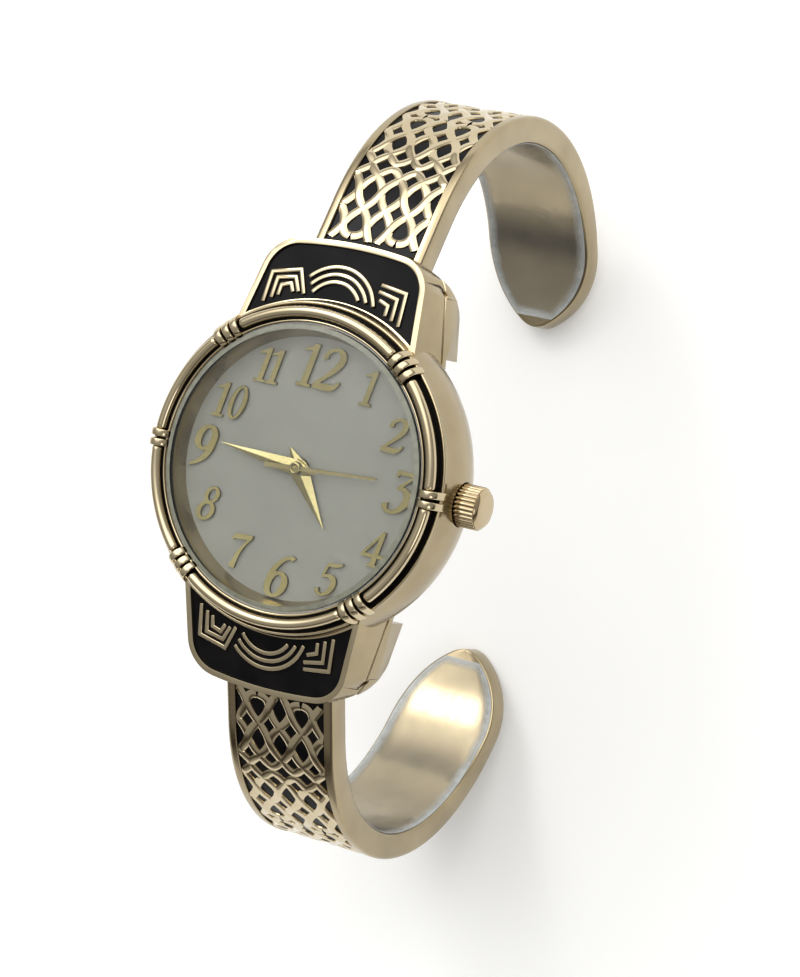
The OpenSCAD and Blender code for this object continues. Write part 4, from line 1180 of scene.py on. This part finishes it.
# Crystal with its ground bevel, and the gold ring between crystal and dial
crystal = {"radius": 11.84, "low": 8.15, "top": 9.33, "bevelWidth": 0.40, "bevelDepth": 0.14}
innerRing = [(10.90, 6.87), (10.93, 6.95), (11.42, 8.0), (11.46, 8.08), (11.58, 8.08),
    (11.58, 6.87)]


def buildCrystal(values):
    r, low, top = values["radius"], values["low"], values["top"]
    flat, shoulder = r - values["bevelWidth"], top - values["bevelDepth"]
    glass = spunBody("crystalGlass", [(0, low), (r - 0.05, low), (r, low + 0.05), (r, shoulder),
        (flat, top - 0.01), (flat - 0.06, top), (0, top)])
    smoothPiece(glass, 12)
    finishPiece(glass, "mineral_glass", "watch_case", "crystal")
    glass.data.materials.append(groundFinish("groundGlass"))
    for face in glass.data.polygons:
        x, y, z = face.center / mm
        if math.hypot(x, y) > flat and z > shoulder - 0.2:
            face.material_index = 1


def buildInnerRing(section):
    ring = spunRing("innerRing", section)
    smoothPiece(ring, 30)
    finishPiece(ring, "gold_plate", "watch_case", "rehaut", finish=goldSoft)


buildCrystal(crystal)
buildInnerRing(innerRing)
print("crystal and inner ring")

# Numerals, drawn in a box one unit high as (x, y, width) brush strokes and rings
numerals = {
    "large": 3.62, "small": 2.92, "lean": 0.20, "height": 0.27, "floor": 6.85, "round": 0.05,
    # weight is added to every stroke; pairs scales how far a number's two figures stand apart
    "weight": 0.022, "pairs": {10: 1, 11: 0.72, 12: 1.05}, "first": -0.30, "second": 0.24,
    "places": {1: (4.86, 7.64), 2: (8.05, 4.37), 3: (9.42, -0.12), 4: (8.25, -4.97),
        5: (4.66, -8.33), 6: (0.08, -9.01), 7: (-4.12, -7.85), 8: (-7.78, -4.55),
        9: (-9.30, 0.04), 10: (-7.62, 4.18), 11: (-4.55, 7.75), 12: (0.13, 8.51)},
}
digits = {
    0: {"rings": [((0, 0), (0.27, 0.50), (0.13, 0.43))]},
    1: {"brush": [
        [(0.03, 0.50, 0.13), (0.03, -0.47, 0.15)],
        [(0.08, 0.48, 0.05), (-0.06, 0.38, 0.08), (-0.24, 0.33, 0.05)],
        [(-0.16, -0.47, 0.06), (0.22, -0.47, 0.06)]]},
    2: {"brush": [
        [(-0.22, 0.20, 0.12), (-0.23, 0.31, 0.10), (-0.12, 0.43, 0.06), (0.04, 0.465, 0.07),
            (0.19, 0.37, 0.13), (0.22, 0.20, 0.16), (0.14, 0.02, 0.13), (-0.06, -0.2, 0.08),
            (-0.28, -0.43, 0.07)],
        [(-0.30, -0.42, 0.11), (-0.08, -0.43, 0.13), (0.16, -0.44, 0.14), (0.29, -0.36, 0.06),
            (0.33, -0.26, 0.03)]]},
    3: {"brush": [
        [(-0.20, 0.34, 0.03), (-0.19, 0.455, 0.07), (0.26, 0.455, 0.08)],
        [(0.24, 0.44, 0.05), (-0.05, 0.12, 0.06)],
        [(-0.10, 0.11, 0.04), (0.08, 0.11, 0.08), (0.23, -0.02, 0.15), (0.24, -0.20, 0.17),
            (0.12, -0.40, 0.11), (-0.06, -0.46, 0.06), (-0.22, -0.40, 0.08),
            (-0.25, -0.27, 0.13)]]},
    4: {"brush": [
        [(0.10, 0.50, 0.11), (0.10, -0.48, 0.14)],
        [(0.10, 0.50, 0.05), (-0.31, -0.18, 0.06)],
        [(-0.34, -0.20, 0.08), (0.32, -0.20, 0.08)],
        [(-0.05, -0.475, 0.05), (0.25, -0.475, 0.05)]]},
    5: {"brush": [
        [(-0.15, 0.43, 0.10), (0.10, 0.43, 0.10), (0.28, 0.49, 0.05)],
        [(-0.15, 0.45, 0.06), (-0.21, 0.08, 0.06)],
        [(-0.22, 0.06, 0.04), (-0.04, 0.13, 0.08), (0.15, 0.06, 0.14), (0.21, -0.13, 0.17),
            (0.13, -0.36, 0.12), (-0.06, -0.465, 0.06), (-0.21, -0.40, 0.08),
            (-0.25, -0.28, 0.12)]]},
    6: {"rings": [((0.01, -0.2), (0.28, 0.30), (0.13, 0.235))], "brush": [
        [(-0.205, -0.16, 0.13), (-0.20, 0.04, 0.13), (-0.12, 0.26, 0.10), (0.02, 0.42, 0.07),
            (0.16, 0.475, 0.06), (0.24, 0.42, 0.09)]]},
    7: {"brush": [
        [(-0.29, 0.30, 0.03), (-0.26, 0.42, 0.13), (0.02, 0.43, 0.13), (0.30, 0.46, 0.10)],
        [(0.27, 0.46, 0.06), (0.10, 0.18, 0.07), (0.0, -0.12, 0.12), (-0.03, -0.49, 0.18)]]},
    8: {"rings": [((0.02, 0.255), (0.225, 0.245), (0.12, 0.185)),
        ((-0.01, -0.22), (0.28, 0.28), (0.15, 0.205))]},
}
digits[9] = {"rings": [((-x, -y), outer, inner) for (x, y), outer, inner in digits[6]["rings"]],
    "brush": [[(0.205, 0.16, 0.13), (0.20, -0.04, 0.14), (0.12, -0.24, 0.12),
        (-0.02, -0.38, 0.09), (-0.20, -0.48, 0.03)]]}


def ellipse(centre, radii, size):
    steps = 36
    turns = [2 * math.pi * k / steps for k in range(steps)]
    return [((centre[0] + radii[0] * math.cos(turn)) * size,
        (centre[1] + radii[1] * math.sin(turn)) * size) for turn in turns]


def softBrush(stations):
    if len(stations) < 4:
        return stations
    points = softened([(x, y) for x, y, _ in stations])
    widths = softened([(w, 0) for _, _, w in stations])
    return [(x, y, w) for (x, y), (w, _) in zip(points, widths)]


def buildDigit(digit, size):
    parts = []
    for stations in digits[digit].get("brush", []):
        soft = softBrush(stations)
        part = drawFlat("digitStroke", strokeOutline([(x * size, y * size) for x, y, _ in soft],
            [(w + numerals["weight"]) * size for _, _, w in soft]))
        extrudePiece(part, (0, 0, numerals["height"]))
        parts.append(part)
    more = numerals["weight"] / 2
    for centre, outer, inner in digits[digit].get("rings", []):
        outer, inner = [r + more for r in outer], [r - more for r in inner]
        part = drawFlat("digitRing", ellipse(centre, outer, size))
        extrudePiece(part, (0, 0, numerals["height"]))
        hole = drawFlat("digitHole", ellipse(centre, inner, size), -0.1)
        extrudePiece(hole, (0, 0, 0.5))
        cutWith(part, hole)
        parts.append(part)
    whole = parts[0]
    for part in parts[1:]:
        cutWith(whole, part, "UNION")
    moveMesh(whole, lambda x, y, z: (x + numerals["lean"] * y, y, z))
    return whole


def buildNumerals():
    made = []
    for number, (px, py) in numerals["places"].items():
        size = numerals["large"] if number % 3 == 0 else numerals["small"]
        figures = [(number, 0)]
        if number in numerals["pairs"]:
            apart = numerals["pairs"][number]
            figures = [(1, numerals["first"] * apart), (number - 10, numerals["second"] * apart)]
        for figure, shift in figures:
            piece = buildDigit(figure, size)
            moveMesh(piece, lambda x, y, z: (
                x + px + shift * size, y + py, z + numerals["floor"]))
            squareUp(piece)
            roundEdges(piece, numerals["round"], 1, 40)
            made.append(piece)
    whole = joinPieces("dialNumerals", made)
    smoothPiece(whole, 25)
    finishPiece(whole, "gold_plate", "watch_case", "dial_numerals", finish=goldFigurePaintedShade)


buildNumerals()
print("numerals")

# Hands: ridged, pointed both ways; turned clockwise from twelve
hands = {
    "hour": {"length": 5.64, "tail": 1.95, "half": 0.86, "z": 7.15, "at": 143.0, "hub": 0.80},
    "minute": {"length": 7.7, "tail": 1.8, "half": 0.70, "z": 7.45, "at": 275.4, "hub": 0.62},
    "second": {"length": 7.6, "tail": 2.9, "z": 7.72, "at": 85.5, "hub": 0.52},
    # the pointed hands: where they are widest, the half width of the tail's end, and the ridge
    "widest": 0.25, "tailHalf": 0.05, "thick": 0.04, "ridge": 0.21,
}


def placeHand(hand, values, body, node):
    moveMesh(hand, lambda x, y, z: (x, y, z + values["z"]))
    turnPiece(hand, -values["at"])
    finishPiece(hand, "gold_hands", body, node)


def buildPointedHand(name, values, body, node):
    widest, narrow, tail = hands["widest"], hands["tailHalf"], -values["tail"]
    blade = drawFlat(name, [(0, values["length"]), (values["half"], widest), (narrow, tail),
        (-narrow, tail), (-values["half"], widest)])
    extrudePiece(blade, (0, 0, hands["thick"]))
    openEdit(blade, "FACE")
    pickFaces(blade, lambda c, n: n.z > 0.9)
    bpy.ops.mesh.poke(offset=hands["ridge"] * mm)
    closeEdit()
    top = max(blade.data.vertices, key=lambda v: v.co.z)
    top.co.x, top.co.y = 0, widest * mm
    smoothPiece(blade, 5)
    edge = values["hub"]
    hub = spunBody("handHub", [(0, -0.08), (edge, -0.08), (edge, 0.08), (edge - 0.05, 0.11),
        (0, 0.12)], 48)
    smoothPiece(hub, 30)
    placeHand(joinPieces(name, [blade, hub]), values, body, node)


def buildSecondHand(values, body, node):
    side = [(0.11, values["length"]), (0.20, 0), (0.21, -0.9), (0.22, -values["tail"])]
    needle = drawFlat("secondHand", [(-0.11, values["length"])] + side
        + [(-x, y) for x, y in side[:0:-1]])
    extrudePiece(needle, (0, 0, 0.12))
    roundEdges(needle, 0.02, 1, 40)
    edge = values["hub"]
    cap = spunBody("secondCap", [(0, -0.02), (edge, -0.02), (edge, 0.12), (edge - 0.03, 0.20),
        (edge - 0.09, 0.25), (0.36, 0.26), (0.29, 0.20), (0.26, 0.08), (0.12, 0.08),
        (0.10, 0.20), (0, 0.22)], 48)
    smoothPiece(cap, 60)
    placeHand(joinPieces("secondHand", [needle, cap]), values, body, node)


buildPointedHand("hourHand", hands["hour"], "hour_pipe", "hour_hand")
buildPointedHand("minuteHand", hands["minute"], "minute_arbor", "minute_hand")
buildSecondHand(hands["second"], "second_arbor", "second_hand")
print("hands")


# The CAD nodes that stay get their finishes
def dressNodes():
    for part in frame["record"]["subparts"]:
        node = nodes[part["node"]]
        node.data.materials.clear()
        node.data.materials.append(finishes[part["material_slot"]])


dressNodes()
print("movement and small parts dressed")
